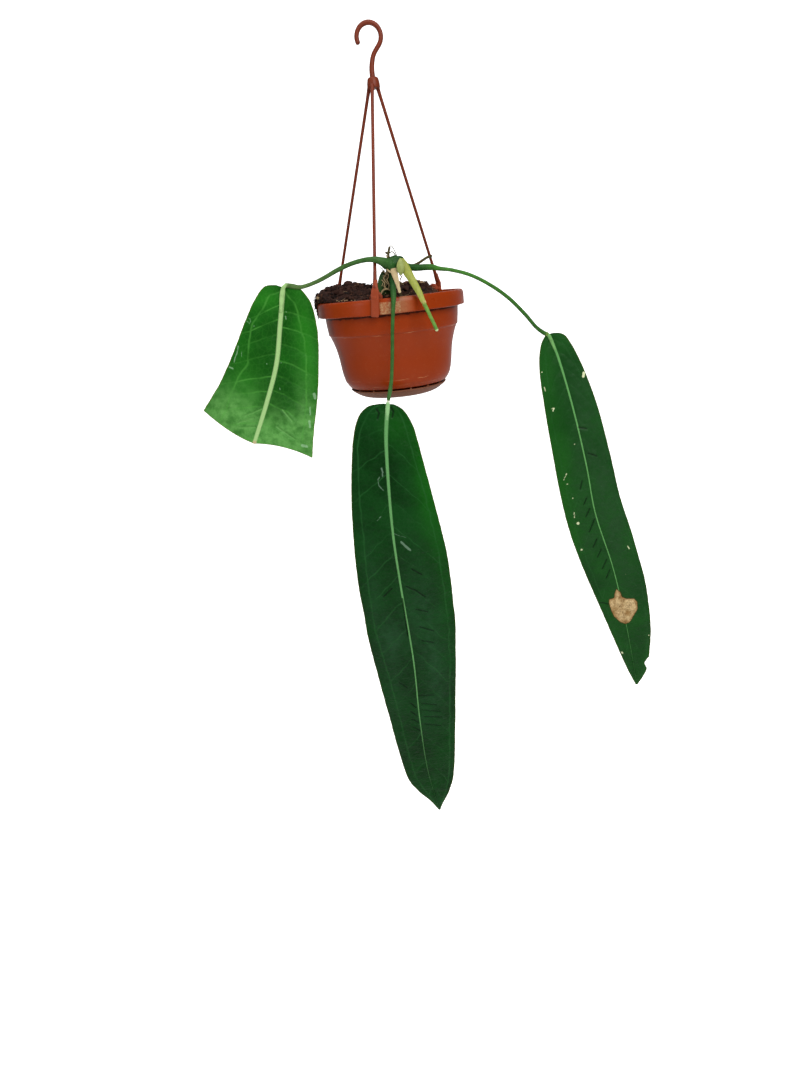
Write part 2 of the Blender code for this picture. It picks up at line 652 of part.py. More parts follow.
CENTRE_BLADE = {
    "midrib": [(-14, -97), (-20, -137), (-23, -217), (-21, -284), (-16, -373), (-16, -451),
               (-13, -527), (-4, -591)],
    "left": [(-22, -96), (-35, -98), (-46, -110), (-54, -138), (-62, -197), (-65.5, -270), (-63.5, -316),
             (-61.7, -352), (-51, -441), (-39.5, -528), (-28, -556), (-13.5, -576), (-5, -591)],
    "right": [(-8, -98), (1, -105), (9, -123), (15, -156), (24.3, -212), (30.6, -254), (32.6, -284),
              (33.4, -312), (33.5, -347), (27, -432), (18.5, -530), (11, -560), (1, -582), (-3, -592)],
    "forward": lambda along, off: 80.0 + 12.0 * math.sin(math.pi * along) + 0.05 * off - 0.003 * off * off,
    "rib": (2.9, 1.0), "lead": 1.22, "waves": 0.7, "bow": {"left": 0.0, "right": 0.0},
}
LEFT_BLADE = {
    "midrib": [(-102, 19), (-105, 8), (-111, -16), (-120, -52), (-135, -88), (-153, -126)],
    "left": [(-109, 22), (-120.5, 21.5), (-132.2, 10), (-146, -11), (-160, -35), (-179, -64), (-200, -89)],
    "right": [(-96, 22), (-87, 17), (-78, 3), (-75, -20), (-77, -48), (-83, -85), (-91, -119),
              (-97, -148)],
    "forward": lambda along, off: 44.0 + 16.0 * along * along + 0.06 * off - 0.002 * off * off,
    "rib": (5.0, 4.0), "lead": 1.05, "waves": 0.5, "bow": {"left": -3.0, "right": 4.4},
}
RIGHT_BLADE = {
    "midrib": [(154, -51.5), (163, -77), (176, -129), (188, -189), (197, -244), (217, -312), (234, -389),
               (249, -471)],
    "left": [(150, -52.5), (144.5, -64), (143, -92), (148, -136), (155, -186), (164, -240), (177.3, -290),
             (198.8, -349), (220, -405), (236, -446), (248, -472)],
    "right": [(159, -50.5), (170.5, -54.5), (184, -79), (198, -116), (211, -165), (224.4, -226), (242.3, -285),
              (257, -345), (263, -402), (260, -448), (250, -472)],
    "forward": lambda along, off: 40.0 + 10.0 * math.sin(math.pi * along) + 0.10 * off - 0.004 * off * off,
    "rib": (2.6, 1.0), "lead": 1.22, "waves": 0.6, "bow": {"left": 0.0, "right": 0.0},
}


def along_curve(points, share):
    """The point at a share of the length of a smooth curve through flat points."""
    dense = [Vector(p) for p in through(points, 8 * len(points))]
    lengths = [0.0]
    for a, b in zip(dense, dense[1:]):
        lengths.append(lengths[-1] + (b - a).length)
    goal = share * lengths[-1]
    for i in range(1, len(dense)):
        if lengths[i] >= goal - 1e-9:
            t = (goal - lengths[i - 1]) / max(lengths[i] - lengths[i - 1], 1e-9)
            return dense[i - 1].lerp(dense[i], min(max(t, 0.0), 1.0))
    return dense[-1]


def blade_mesh(blade):
    """A thin closed leaf with a raised midrib and low side veins, alike on both faces."""
    spread = (1.0, 0.8, 0.52, 0.25)
    base_z = blade["midrib"][0][1]
    tip_z = blade["midrib"][-1][1]
    front = []
    for i in range(BLADE_ROWS + 1):
        share = i / BLADE_ROWS
        rib_at = along_curve(blade["midrib"], share ** blade["lead"])
        rib_half = 0.5 * (blade["rib"][0] + (blade["rib"][1] - blade["rib"][0]) * share)
        row = []
        for side, sign in (("left", -1), ("right", 1)):
            edge = along_curve(blade[side], share)
            width = (edge - rib_at).length
            half = min(rib_half, 0.18 * width)
            cells = []
            for part in spread:
                flat_at = rib_at.lerp(edge, part)
                flat_at.y += blade["bow"][side] * share ** 9 * 4.0 * part * (1.0 - part)
                cells.append((flat_at, part * width, part))
            cells.append((rib_at.lerp(edge, half / width), half, 0.0))
            row.append(cells if sign < 0 else cells[::-1])
        relief = min(1.0, width / 12.0)
        line = row[0] + [(rib_at, 0.0, -1.0)] + row[1]
        out = []
        for flat_at, off, part in line:
            along = min(max((base_z - flat_at.y) / (base_z - tip_z), 0.0), 1.0)
            forward = blade["forward"](along, off)
            if part > 0.5:
                forward += blade["waves"] * part * math.sin(0.11 * flat_at.y + 0.05 * flat_at.x)
            if part < 0.0:
                forward += RIB_RELIEF * relief
            elif part > 0.0 and i % 3 == 1 and part < 0.95:
                forward += VEIN_RELIEF * relief
            out.append(Vector((flat_at.x, -forward, flat_at.y)))
        front.append(out)
    rows = len(front)
    cols = len(front[0])
    points = [p for line in front for p in line]
    normals = [Vector((0.0, 0.0, 0.0)) for _ in points]
    cells = []
    for i in range(rows - 1):
        for j in range(cols - 1):
            a, b = i * cols + j, i * cols + j + 1
            c, d = a + cols, b + cols
            for tri in ((a, c, d), (a, d, b)):
                cells.append(tri)
                n = (points[tri[1]] - points[tri[0]]).cross(points[tri[2]] - points[tri[0]])
                for v in tri:
                    normals[v] += n
    count = len(points)
    back = []
    for j, (p, n) in enumerate(zip(points, normals)):
        line = front[j // cols]
        narrow = 1.0 - min(1.0, (line[0] - line[-1]).length / 20.0)
        away = n.normalized()
        if away.y < 0.0:
            away = -away
        back.append(p + away.lerp(Vector((0.0, 1.0, 0.0)), narrow).normalized() * BLADE_THICKNESS)
    faces = list(cells) + [tuple(v + count for v in reversed(tri)) for tri in cells]
    border = [j for j in range(cols)]
    border += [i * cols + cols - 1 for i in range(1, rows)]
    border += [(rows - 1) * cols + j for j in range(cols - 2, -1, -1)]
    border += [i * cols for i in range(rows - 2, 0, -1)]
    for a, b in zip(border, border[1:] + border[:1]):
        faces.append((a, b, b + count))
        faces.append((a, b + count, a + count))
    return mesh_of(points + back, faces)


# Bites along the right blade's outer margin, as (x, z, radius) of a round cut.
RIGHT_BITES = [(266.3, -441.5, 9.0), (193.8, -95.5, 2.2)]


def bite_mesh(x, z, radius):
    return tube([(x, -70.0, z, radius), (x, -10.0, z, radius)], 2, sides=12, facing=Vector((1.0, 0.0, 0.0)))


def make_blades():
    add_blade("blade_left", LEFT_BLADE, crown_mesh(GAP), blade_light)
    add_blade("blade_centre", CENTRE_BLADE, tube(PETIOLE_CENTRE, 26, sides=9, grow=GAP), blade_dark)
    right = add_blade("blade_right", RIGHT_BLADE, tube(PETIOLE_RIGHT, 32, sides=9, grow=GAP), blade_dark)
    for bite in RIGHT_BITES:
        apply_boolean(right, bite_mesh(*bite), "DIFFERENCE")


def add_blade(name, blade, petiole_guard, mat):
    leaf = add_object(name, blade_mesh(blade), mat)
    apply_boolean(leaf, petiole_guard, "DIFFERENCE")
    return leaf


clear_scene()
rim_plane = bpy.data.objects.new("rim_plane", None)
rim_plane.location = (-HOOK_OFFSET * MM, 0.0, -HOOK_HEIGHT * MM)
bpy.context.collection.objects.link(rim_plane)
bpy.context.view_layer.update()

terracotta_plastic = material("terracotta_plastic", (0.25, 0.038, 0.009), 0.42)
tray_plastic = material("tray_plastic", (0.16, 0.052, 0.027), 0.45)
hanger_plastic = material("hanger_plastic", (0.15, 0.018, 0.006), 0.4)
clip_plastic = material("clip_plastic", (0.26, 0.05, 0.016), 0.45)
coir = material("coir", (0.022, 0.010, 0.005), 0.95)
old_stem = material("old_stem", (0.05, 0.045, 0.018), 0.9)
petiole_green = material("petiole_green", (0.022, 0.09, 0.016), 0.45)
sheath_olive = material("sheath_olive", (0.33, 0.36, 0.05), 0.5)
stub_green = material("stub_green", (0.11, 0.30, 0.05), 0.45)
dry_tan = material("dry_tan", (0.60, 0.43, 0.22), 0.8)
root_brown = material("root_brown", (0.13, 0.11, 0.05), 0.8)
dry_brown = material("dry_brown", (0.06, 0.045, 0.02), 0.85)
blade_light = material("blade_light", (0.012, 0.14, 0.008), 0.35)
blade_dark = material("blade_dark", (0.007, 0.05, 0.01), 0.32)

make_pot()
make_tray()
make_hanger()
mix_cutters = [stem_mesh(GAP)]
for clip_name in CLIP_AZIMUTHS:
    mix_cutters.extend(clip_mesh(clip_name, GAP + 0.2))
make_mix(mix_cutters)
make_plant()
make_blades()
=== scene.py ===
import math
import random

import bmesh
import bpy
import numpy as np
from mathutils import Matrix, Vector, noise


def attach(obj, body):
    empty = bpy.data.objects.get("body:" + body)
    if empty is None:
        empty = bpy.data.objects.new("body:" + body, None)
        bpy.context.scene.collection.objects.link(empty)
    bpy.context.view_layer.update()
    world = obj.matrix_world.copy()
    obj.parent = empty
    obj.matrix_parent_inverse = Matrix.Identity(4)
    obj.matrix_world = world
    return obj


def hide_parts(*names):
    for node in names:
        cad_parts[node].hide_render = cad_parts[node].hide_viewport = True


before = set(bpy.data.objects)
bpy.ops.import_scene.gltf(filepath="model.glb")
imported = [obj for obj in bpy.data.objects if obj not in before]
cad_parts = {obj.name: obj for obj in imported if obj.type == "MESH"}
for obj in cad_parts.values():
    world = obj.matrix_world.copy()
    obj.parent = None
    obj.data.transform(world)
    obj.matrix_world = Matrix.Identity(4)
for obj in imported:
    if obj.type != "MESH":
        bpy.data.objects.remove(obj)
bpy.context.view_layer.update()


# THE POT: one thin-walled injection moulding in terracotta-coloured polypropylene, with a
# skirted rim band, a small step and a body that rounds in to a foot. The mould leaves a
# satin skin; five holes in the foot drain it, and a label has been peeled off the band.
MM = 0.001
RIM_PLANE = Vector((-4.4, 0.0, -236.0))
RIM_RADIUS = 75.0
SKIRT_RADIUS = RIM_RADIUS + 0.5
RIM_BAND = 14.6
STEP_DEPTH = 33.2
SHOULDER_DEPTH = 88.0
FOOT_DEPTH = 96.3
POT_WALL = 1.6
POT_STEPS = 200
RGBA = {"data_type": "RGBA"}
SMOOTH = {"interpolation_type": "SMOOTHSTEP"}


def linear(code):
    """An sRGB hex colour as the linear RGBA that a socket takes."""
    out = []
    for i in (1, 3, 5):
        c = int(code[i:i + 2], 16) / 255.0
        out.append(c / 12.92 if c <= 0.04045 else ((c + 0.055) / 1.055) ** 2.4)
    return (*out, 1.0)


def feed(mat, target, inputs):
    """Set a node's inputs to values, or link them from other nodes' outputs."""
    for key, value in inputs.items():
        if isinstance(value, bpy.types.NodeSocket):
            mat.node_tree.links.new(value, target.inputs[key])
        else:
            target.inputs[key].default_value = value


def add_node(mat, kind, settings, inputs):
    made = mat.node_tree.nodes.new("ShaderNode" + kind)
    for key, value in settings.items():
        setattr(made, key, value)
    feed(mat, made, inputs)
    return made


def new_finish(name, inputs):
    """A material whose shader has these values; returns it with its shader."""
    mat = bpy.data.materials.new(name)
    mat.use_nodes = True
    shader = mat.node_tree.nodes["Principled BSDF"]
    feed(mat, shader, inputs)
    return mat, shader


def through(points, samples):
    """Points on a smooth curve through the given tuples of any length."""
    count = len(points)
    out = []
    for i in range(samples):
        u = i * (count - 1) / (samples - 1)
        k = min(int(u), count - 2)
        t = u - k
        p0, p1 = points[max(k - 1, 0)], points[k]
        p2, p3 = points[k + 1], points[min(k + 2, count - 1)]
        out.append(tuple(
            0.5 * (2 * b + (c - a) * t + (2 * a - 5 * b + 4 * c - d) * t * t
                   + (3 * b - a - 3 * c + d) * t ** 3)
            for a, b, c, d in zip(p0, p1, p2, p3)))
    return out


def around(radius, azimuth, z=0.0):
    """A point at a compass angle round the pot: 0 is the front, positive is to +X."""
    return Vector((radius * math.sin(azimuth), -radius * math.cos(azimuth), z))


def arc(centre_r, centre_z, radius, start, stop, count):
    """Points of a circular arc in the (radius, z) plane, angles in degrees."""
    angles = [math.radians(start + (stop - start) * i / (count - 1)) for i in range(count)]
    return [(centre_r + radius * math.cos(a), centre_z + radius * math.sin(a)) for a in angles]


def turned(profile, steps, wander=lambda r, z, a: 0.0):
    """A body turned from an open (radius, z) profile that starts and ends on the axis."""
    rings = [p for p in profile if p[0] > 1e-6]
    points = []
    for r, z in rings:
        for k in range(steps):
            a = math.tau * k / steps
            points.append(around(r, a, z + wander(r, z, a)))
    faces = []
    for i in range(len(rings) - 1):
        for k in range(steps):
            n = (k + 1) % steps
            faces.append((i * steps + k, i * steps + n, (i + 1) * steps + n, (i + 1) * steps + k))
    for end, ring in ((profile[0], 0), (profile[-1], len(rings) - 1)):
        hub = len(points)
        points.append(Vector((0.0, 0.0, end[1])))
        for k in range(steps):
            faces.append((hub, ring * steps + k, ring * steps + (k + 1) % steps))
    return points, faces


def piece(name, body, mats, nodes=()):
    """Put a piece made in rim-plane millimetres in its place, dressed and riding."""
    points, faces = body[:2]
    mesh = bpy.data.meshes.new(name)
    mesh.from_pydata([(Vector(p) + RIM_PLANE) * MM for p in points], [], faces)
    bm = bmesh.new()
    bm.from_mesh(mesh)
    bmesh.ops.recalc_face_normals(bm, faces=bm.faces)
    bm.to_mesh(mesh)
    bm.free()
    for mat in mats:
        mesh.materials.append(mat)
    mesh.shade_smooth()
    mesh.set_sharp_from_angle(angle=math.radians(38.0))
    for key, values in (body[2].items() if len(body) > 2 else ()):
        mesh.attributes.new(key, "FLOAT", "POINT").data.foreach_set("value", list(values))
    obj = bpy.data.objects.new(name + "_shown", mesh)
    bpy.context.collection.objects.link(obj)
    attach(obj, "root")
    if nodes:
        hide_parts(*nodes)
    return obj


def pot_profile():
    body = through([(66.2, -STEP_DEPTH - 0.6), (63.6, -40.8), (61.4, -48.5), (59.8, -57.0), (58.5, -67.8),
                    (57.2, -75.6), (55.2, -82.1), (51.6, -87.4)], 40)
    rim = arc(RIM_RADIUS - 2.4, -2.4, 2.4, 90.0, 5.0, 10)
    band = [(SKIRT_RADIUS - 0.1 + 0.1 * i / 6, -3.6 - 1.5 * i) for i in range(7)]
    band += arc(SKIRT_RADIUS - 1.2, -RIM_BAND + 1.2, 1.2, 0.0, -90.0, 6)
    recess = [(SKIRT_RADIUS - 1.9, -RIM_BAND + 0.6), (SKIRT_RADIUS - 2.2, -RIM_BAND + 4.0),
              (69.2, -RIM_BAND + 4.0)]
    upper = [(69.0, -RIM_BAND), (68.8, -18.0), (68.4, -23.6), (67.9, -28.0), (67.5, -STEP_DEPTH + 1.0),
             (67.3, -STEP_DEPTH + 0.4), (66.9, -STEP_DEPTH)]
    foot = [(50.6, -SHOULDER_DEPTH), (46.6, -SHOULDER_DEPTH), (44.8, -SHOULDER_DEPTH - 1.2),
            (40.0, -FOOT_DEPTH + 2.3), (37.0, -FOOT_DEPTH + 0.3), (35.0, -FOOT_DEPTH), (0.0, -FOOT_DEPTH)]
    inner = [(0.0, -FOOT_DEPTH + POT_WALL), (34.6, -FOOT_DEPTH + POT_WALL), (38.0, -FOOT_DEPTH + 3.4),
             (43.0, -SHOULDER_DEPTH - 0.6), (49.2, -SHOULDER_DEPTH + POT_WALL + 0.4)]
    inner += [(r - POT_WALL, z + 0.6) for r, z in body[-5::-5]]
    inner += [(66.9, -23.6), (67.6, -RIM_BAND), (70.4, -4.0)]
    inner += arc(RIM_RADIUS - 2.6, -1.1, 1.1, 180.0, 90.0, 5)
    return inner + rim + band + recess + upper + body + foot


def band_wander(r, z, a):
    """The thin skirt of the band is a little wavy along its lower edge."""
    low = max(0.0, min(1.0, (-8.0 - z) / 6.0)) if r > 73.0 and z > -15.0 else 0.0
    return low * 0.45 * noise.noise(Vector((4.5 * math.cos(a), 4.5 * math.sin(a), 7.0)))


# Terracotta-coloured polypropylene, moulded: satin, a little uneven in colour, with a
# very fine skin. Where the label was, paper and glue are left on the band's front.
# A dark wavy line of painted shadow runs under the band, and three thin light lines go
# round the body: two low scratches and a painted highlight at the step.
moulded_pp, moulded_shader = new_finish("terracotta polypropylene, moulded", {
    "IOR": 1.49, "Specular IOR Level": 0.15})
at = add_node(moulded_pp, "TexCoord", {}, {}).outputs["Object"]
cloud = add_node(moulded_pp, "TexNoise", {},
                 {"Vector": at, "Scale": 1000 / 45, "Detail": 4.0, "Roughness": 0.6})
body_tone = add_node(moulded_pp, "Mix", RGBA, {
    0: cloud.outputs["Fac"], 6: linear("#842B04"), 7: linear("#963608")})
dust = add_node(moulded_pp, "TexNoise", {},
                {"Vector": at, "Scale": 1000 / 3.0, "Detail": 6.0, "Roughness": 0.7})
dust_amount = add_node(moulded_pp, "MapRange", {}, {
    "Value": dust.outputs["Fac"], "From Min": 0.56, "From Max": 0.8, "To Max": 0.16})
dusty = add_node(moulded_pp, "Mix", RGBA, {
    0: dust_amount.outputs[0], 6: body_tone.outputs[2], 7: linear("#A8714C")})
place = add_node(moulded_pp, "SeparateXYZ", {}, {"Vector": at})
label_mask = None
for axis, low, high in (("X", -0.0165, 0.0036), ("Z", -0.2502, -0.2396), ("Y", -0.09, -0.05)):
    for edge, turn in ((low, 1.0), (high, -1.0)):
        soft = 0.0008
        side = add_node(moulded_pp, "MapRange", SMOOTH, {
            "Value": place.outputs[axis], "From Min": edge - soft * turn, "From Max": edge + soft * turn})
        label_mask = side if label_mask is None else add_node(
            moulded_pp, "Math", {"operation": "MULTIPLY"}, {0: label_mask.outputs[0], 1: side.outputs[0]})
smear = add_node(moulded_pp, "MapRange", SMOOTH, {
    "Value": place.outputs["X"], "From Min": 0.019, "From Max": 0.004})
smear_low = add_node(moulded_pp, "MapRange", SMOOTH, {
    "Value": place.outputs["Z"], "From Min": -0.2515, "From Max": -0.2490})
smear_front = add_node(moulded_pp, "Math", {"operation": "LESS_THAN"}, {0: place.outputs["Y"], 1: -0.0705})
smear_end = add_node(moulded_pp, "Math", {"operation": "GREATER_THAN"}, {0: place.outputs["X"], 1: 0.0025})
smear_mask = smear
for part in (smear_low, smear_front, smear_end):
    smear_mask = add_node(moulded_pp, "Math", {"operation": "MULTIPLY"},
                          {0: smear_mask.outputs[0], 1: part.outputs[0]})
smear_mask = add_node(moulded_pp, "Math", {"operation": "MULTIPLY"}, {0: smear_mask.outputs[0], 1: 0.35})
torn = add_node(moulded_pp, "TexNoise", {},
                {"Vector": at, "Scale": 1000 / 2.2, "Detail": 5.0, "Roughness": 0.65})
torn_paper = add_node(moulded_pp, "MapRange", {}, {
    "Value": torn.outputs["Fac"], "From Min": 0.38, "From Max": 0.66, "To Min": 0.3, "To Max": 0.9})
label_amount = add_node(moulded_pp, "Math", {"operation": "MULTIPLY"}, {
    0: label_mask.outputs[0], 1: torn_paper.outputs[0]})
label_amount = add_node(moulded_pp, "Math", {"operation": "MAXIMUM"}, {
    0: label_amount.outputs[0], 1: smear_mask.outputs[0]})
paper = add_node(moulded_pp, "Mix", RGBA, {
    0: torn.outputs["Fac"], 6: linear("#8A5E46"), 7: linear("#C6A878")})
with_label = add_node(moulded_pp, "Mix", RGBA, {
    0: label_amount.outputs[0], 6: dusty.outputs[2], 7: paper.outputs[2]})
# Painted shadow: a dark wavy line on the wall just under the band's skirt.
wavy = add_node(moulded_pp, "TexNoise", {}, {"Vector": at, "Scale": 1000 / 7, "Detail": 3.0})
sag = add_node(moulded_pp, "MapRange", {},
               {"Value": wavy.outputs["Fac"], "From Min": 0.3, "From Max": 0.7, "To Min": -0.0007,
                "To Max": 0.0007})
wavy_z = add_node(moulded_pp, "Math", {"operation": "ADD"}, {0: place.outputs["Z"], 1: sag.outputs[0]})
under_band_shade_low = add_node(moulded_pp, "MapRange", SMOOTH, {
    "Value": wavy_z.outputs[0], "From Min": -0.2532, "From Max": -0.2520})
under_band_shade_high = add_node(moulded_pp, "Math", {"operation": "LESS_THAN"}, {0: place.outputs["Z"], 1: -0.25065})
under_band_shade = add_node(moulded_pp, "Math", {"operation": "MULTIPLY"},
                {0: under_band_shade_low.outputs[0], 1: under_band_shade_high.outputs[0]})
under_band_shade = add_node(moulded_pp, "Math", {"operation": "MULTIPLY"}, {0: under_band_shade.outputs[0], 1: 0.85})
with_painted_shade = add_node(moulded_pp, "Mix", RGBA, {
    0: under_band_shade.outputs[0], 6: with_label.outputs[2], 7: linear("#2C0A03")})
# Thin light lines round the body: the two low ones are scratches, the one at the step is a painted highlight.
scratch_and_highlight = add_node(moulded_pp, "TexNoise", {}, {"Vector": at, "Scale": 1000 / 16, "Detail": 4.0})
scratch_and_highlight_run = add_node(moulded_pp, "MapRange", {},
                   {"Value": scratch_and_highlight.outputs["Fac"], "From Min": 0.5, "From Max": 0.62, "To Max": 0.5})
for ring_z, ring_half in ((-0.3148, 0.0003), (-0.3205, 0.0002), (-0.2698, 0.0003)):
    ring = add_node(moulded_pp, "Math", {"operation": "COMPARE"},
                    {0: wavy_z.outputs[0], 1: ring_z, 2: ring_half})
    ring = add_node(moulded_pp, "Math", {"operation": "MULTIPLY"},
                    {0: ring.outputs[0], 1: scratch_and_highlight_run.outputs[0]})
    with_painted_shade = add_node(moulded_pp, "Mix", RGBA, {
        0: ring.outputs[0], 6: with_painted_shade.outputs[2], 7: linear("#C07A50")})
satin = add_node(moulded_pp, "MapRange", {}, {
    "Value": cloud.outputs["Fac"], "From Min": 0.3, "From Max": 0.7, "To Min": 0.27, "To Max": 0.36})
skin = add_node(moulded_pp, "TexNoise", {}, {"Vector": at, "Scale": 1000 / 0.6, "Detail": 3.0})
skin_bump = add_node(moulded_pp, "Bump", {},
                     {"Height": skin.outputs["Fac"], "Strength": 0.06, "Distance": 0.0002})
paper_bump = add_node(moulded_pp, "Bump", {}, {
    "Height": label_amount.outputs[0], "Strength": 0.5, "Distance": 0.0002, "Normal": skin_bump.outputs[0]})
feed(moulded_pp, moulded_shader, {
    "Base Color": with_painted_shade.outputs[2], "Roughness": satin.outputs[0], "Normal": paper_bump.outputs[0]})

pot = piece("pot", turned(pot_profile(), POT_STEPS, band_wander), [moulded_pp], ("pot",))
drill = bmesh.new()
for k in range(5):
    hole = around(26.0, math.tau * k / 5, -FOOT_DEPTH)
    bmesh.ops.create_cone(drill, cap_ends=True, segments=36, radius1=4.5 * MM, radius2=4.5 * MM, depth=8 * MM,
                          matrix=Matrix.Translation((hole + RIM_PLANE) * MM))
drill_mesh = bpy.data.meshes.new("drill")
drill.to_mesh(drill_mesh)
drill.free()
drill_piece = bpy.data.objects.new("drill", drill_mesh)
bpy.context.collection.objects.link(drill_piece)
drilling = pot.modifiers.new("drainage", "BOOLEAN")
drilling.object = drill_piece
drilling.solver = "EXACT"
drilled = bpy.data.meshes.new_from_object(pot.evaluated_get(bpy.context.evaluated_depsgraph_get()))
pot.modifiers.clear()
pot.data = drilled
bpy.data.objects.remove(drill_piece, do_unlink=True)


# THE DRIP TRAY: a shallow polypropylene dish under the foot, snapped to it by sixteen small
# nubs that leave a dark slot all round. It is older and dustier than the pot above it.
TRAY_TOP = -90.0
TRAY_BASE = -98.9
TRAY_NUBS = 16


def tray_body():
    outer = arc(50.25, TRAY_TOP - 0.35, 0.5, 90.0, -20.0, 6)
    outer += through([(50.4, -90.9), (48.5, -92.5), (45.5, -94.6), (41.4, -97.0), (37.0, TRAY_BASE + 0.35),
                      (33.5, TRAY_BASE)], 24) + [(30.0, TRAY_BASE + 0.5), (0.0, TRAY_BASE + 0.5)]
    inner = [(0.0, -97.0), (33.0, -97.0)] + through([(34.0, -97.4), (41.4, -95.3), (45.8, -92.4),
                                                     (48.7, TRAY_TOP)], 12)
    points, faces = turned(inner + outer, POT_STEPS)
    for k in range(TRAY_NUBS):
        turn = math.radians(-10.0) + math.tau * k / TRAY_NUBS
        first = len(points)
        for z, slim in ((TRAY_TOP - 0.9, 1.0), (-88.6, 0.9), (-88.3, 0.6)):
            for dx, r in ((-0.7, 48.9), (0.7, 48.9), (0.7, 50.4), (-0.7, 50.4)):
                middle = 49.65
                points.append(Matrix.Rotation(turn, 3,
                                              "Z") @ Vector((dx * slim, -(middle + (r - middle) * slim), z)))
        for level in (0, 4):
            for j in range(4):
                a, b = first + level + j, first + level + (j + 1) % 4
                faces.append((a, b, b + 4, a + 4))
        faces.append(tuple(first + 8 + j for j in range(4)))
        faces.append(tuple(first + 3 - j for j in range(4)))
    return points, faces


# The same plastic, moulded, sun-faded and filmed with lime from the watering: duller.
faded_pp, faded_shader = new_finish("terracotta polypropylene, faded",
                                    {"IOR": 1.49, "Specular IOR Level": 0.15})
at = add_node(faded_pp, "TexCoord", {}, {}).outputs["Object"]
film = add_node(faded_pp, "TexNoise", {},
                {"Vector": at, "Scale": 1000 / 18, "Detail": 6.0, "Roughness": 0.65})
faded = add_node(faded_pp, "Mix", RGBA, {
    0: film.outputs["Fac"], 6: linear("#6A3A26"), 7: linear("#84543C")})
faded_rough = add_node(faded_pp, "MapRange", {}, {"Value": film.outputs["Fac"], "To Min": 0.4, "To Max": 0.6})
feed(faded_pp, faded_shader, {"Base Color": faded.outputs[2], "Roughness": faded_rough.outputs[0]})
piece("drip_tray", tray_body(), [faded_pp], ("drip_tray",))


# THE HANGER: one moulding in life, with a hub and hook, three stiff round rods and a saddle
# clip at the foot of each rod. Each clip straddles the rim: a tab outside, a button inside.
HOOK_OFFSET = 4.4
HUB_HEIGHT = 190.0
HOOK_CENTRE = 227.0
HOOK_BEND = 11.2
HOOK_ROD = 2.2
ROD_MEETING = Vector((HOOK_OFFSET, 0.0, 201.0))
ROD_FOOT_RADIUS = 76.5
ROD_FOOT_HEIGHT = 7.0
ROD_AZIMUTHS = {"front": -11.1, "back_left": -133.8, "back_right": 133.8}
CLIP_AZIMUTHS = {"front": -12.2, "back_left": -133.8, "back_right": 133.8}
CLIP_LEANS = {"front": 6.5, "back_left": 0.0, "back_right": 0.0}


def tube(route, samples, sides, flat=1.0, facing=Vector((0.0, 1.0, 0.0)), skin=None, ends=3):
    """A closed tapering tube along (x, y, z, radius) points with rounded ends.

    flat is its depth to its width, and skin(share, angle) adds to its radius. The run of
    every point comes with it, for the materials.
    """
    stations = through(route, samples) if samples > len(route) else route
    centres = [Vector(s[:3]) for s in stations]
    count = len(stations)
    tangents = [(centres[min(i + 1, count - 1)] - centres[max(i - 1, 0)]).normalized() for i in range(count)]
    side = tangents[0].cross(facing).normalized()
    points, run = [], []

    def ring(centre, tangent, across, radius, share):
        depth = tangent.cross(across).normalized()
        for k in range(sides):
            a = math.tau * k / sides
            r = radius + (skin(share, a) if skin else 0.0)
            points.append(centre + across * r * math.cos(a) + depth * r * flat * math.sin(a))
            run.append(share)

    for j in range(ends, 0, -1):
        a = 0.5 * math.pi * j / (ends + 0.5)
        r = stations[0][3]
        ring(centres[0] - tangents[0] * 0.75 * r * math.sin(a), tangents[0], side, r * math.cos(a), 0.0)
    for i in range(count):
        side = (side - tangents[i] * side.dot(tangents[i])).normalized()
        ring(centres[i], tangents[i], side, stations[i][3], i / (count - 1))
    for j in range(1, ends + 1):
        a = 0.5 * math.pi * j / (ends + 0.5)
        r = stations[-1][3]
        ring(centres[-1] + tangents[-1] * 0.75 * r * math.sin(a), tangents[-1], side, r * math.cos(a), 1.0)
    rings = len(points) // sides
    faces = [tuple(reversed(range(sides)))]
    for i in range(rings - 1):
        for k in range(sides):
            n = (k + 1) % sides
            faces.append((i * sides + k, i * sides + n, (i + 1) * sides + n, (i + 1) * sides + k))
    faces.append(tuple(range((rings - 1) * sides, rings * sides)))
    return points, faces, {"run": run}


def together(bodies):
    """Several closed bodies as one piece."""
    points, faces, marks = [], [], {}
    for body in bodies:
        first = len(points)
        points += list(body[0])
        faces += [tuple(v + first for v in face) for face in body[1]]
        for key, values in (body[2].items() if len(body) > 2 else ()):
            marks.setdefault(key, [0.0] * first)
            marks[key] += list(values)
        for key in marks:
            marks[key] += [0.0] * (len(points) - len(marks[key]))
    return points, faces, marks


def moved(body, matrix):
    return ([matrix @ Vector(p) for p in body[0]],) + tuple(body[1:])


def rod_ends(name):
    foot = around(ROD_FOOT_RADIUS, math.radians(ROD_AZIMUTHS[name]), ROD_FOOT_HEIGHT)
    top = foot.lerp(ROD_MEETING, 0.927)
    return top, foot.lerp(ROD_MEETING, 0.015)


def rod_body(name):
    top, foot = rod_ends(name)
    route = []
    for share, radius in ((0.0, 1.9), (0.05, 1.6), (0.2, 1.55), (0.4, 1.55), (0.6, 1.55), (0.8, 1.55),
                          (0.9, 1.6),
                          (0.955, 1.85), (0.985, 2.3), (1.0, 2.5)):
        route.append((*top.lerp(foot, share), radius))
    return tube(route, len(route), 20, facing=around(1.0, math.radians(ROD_AZIMUTHS[name])))


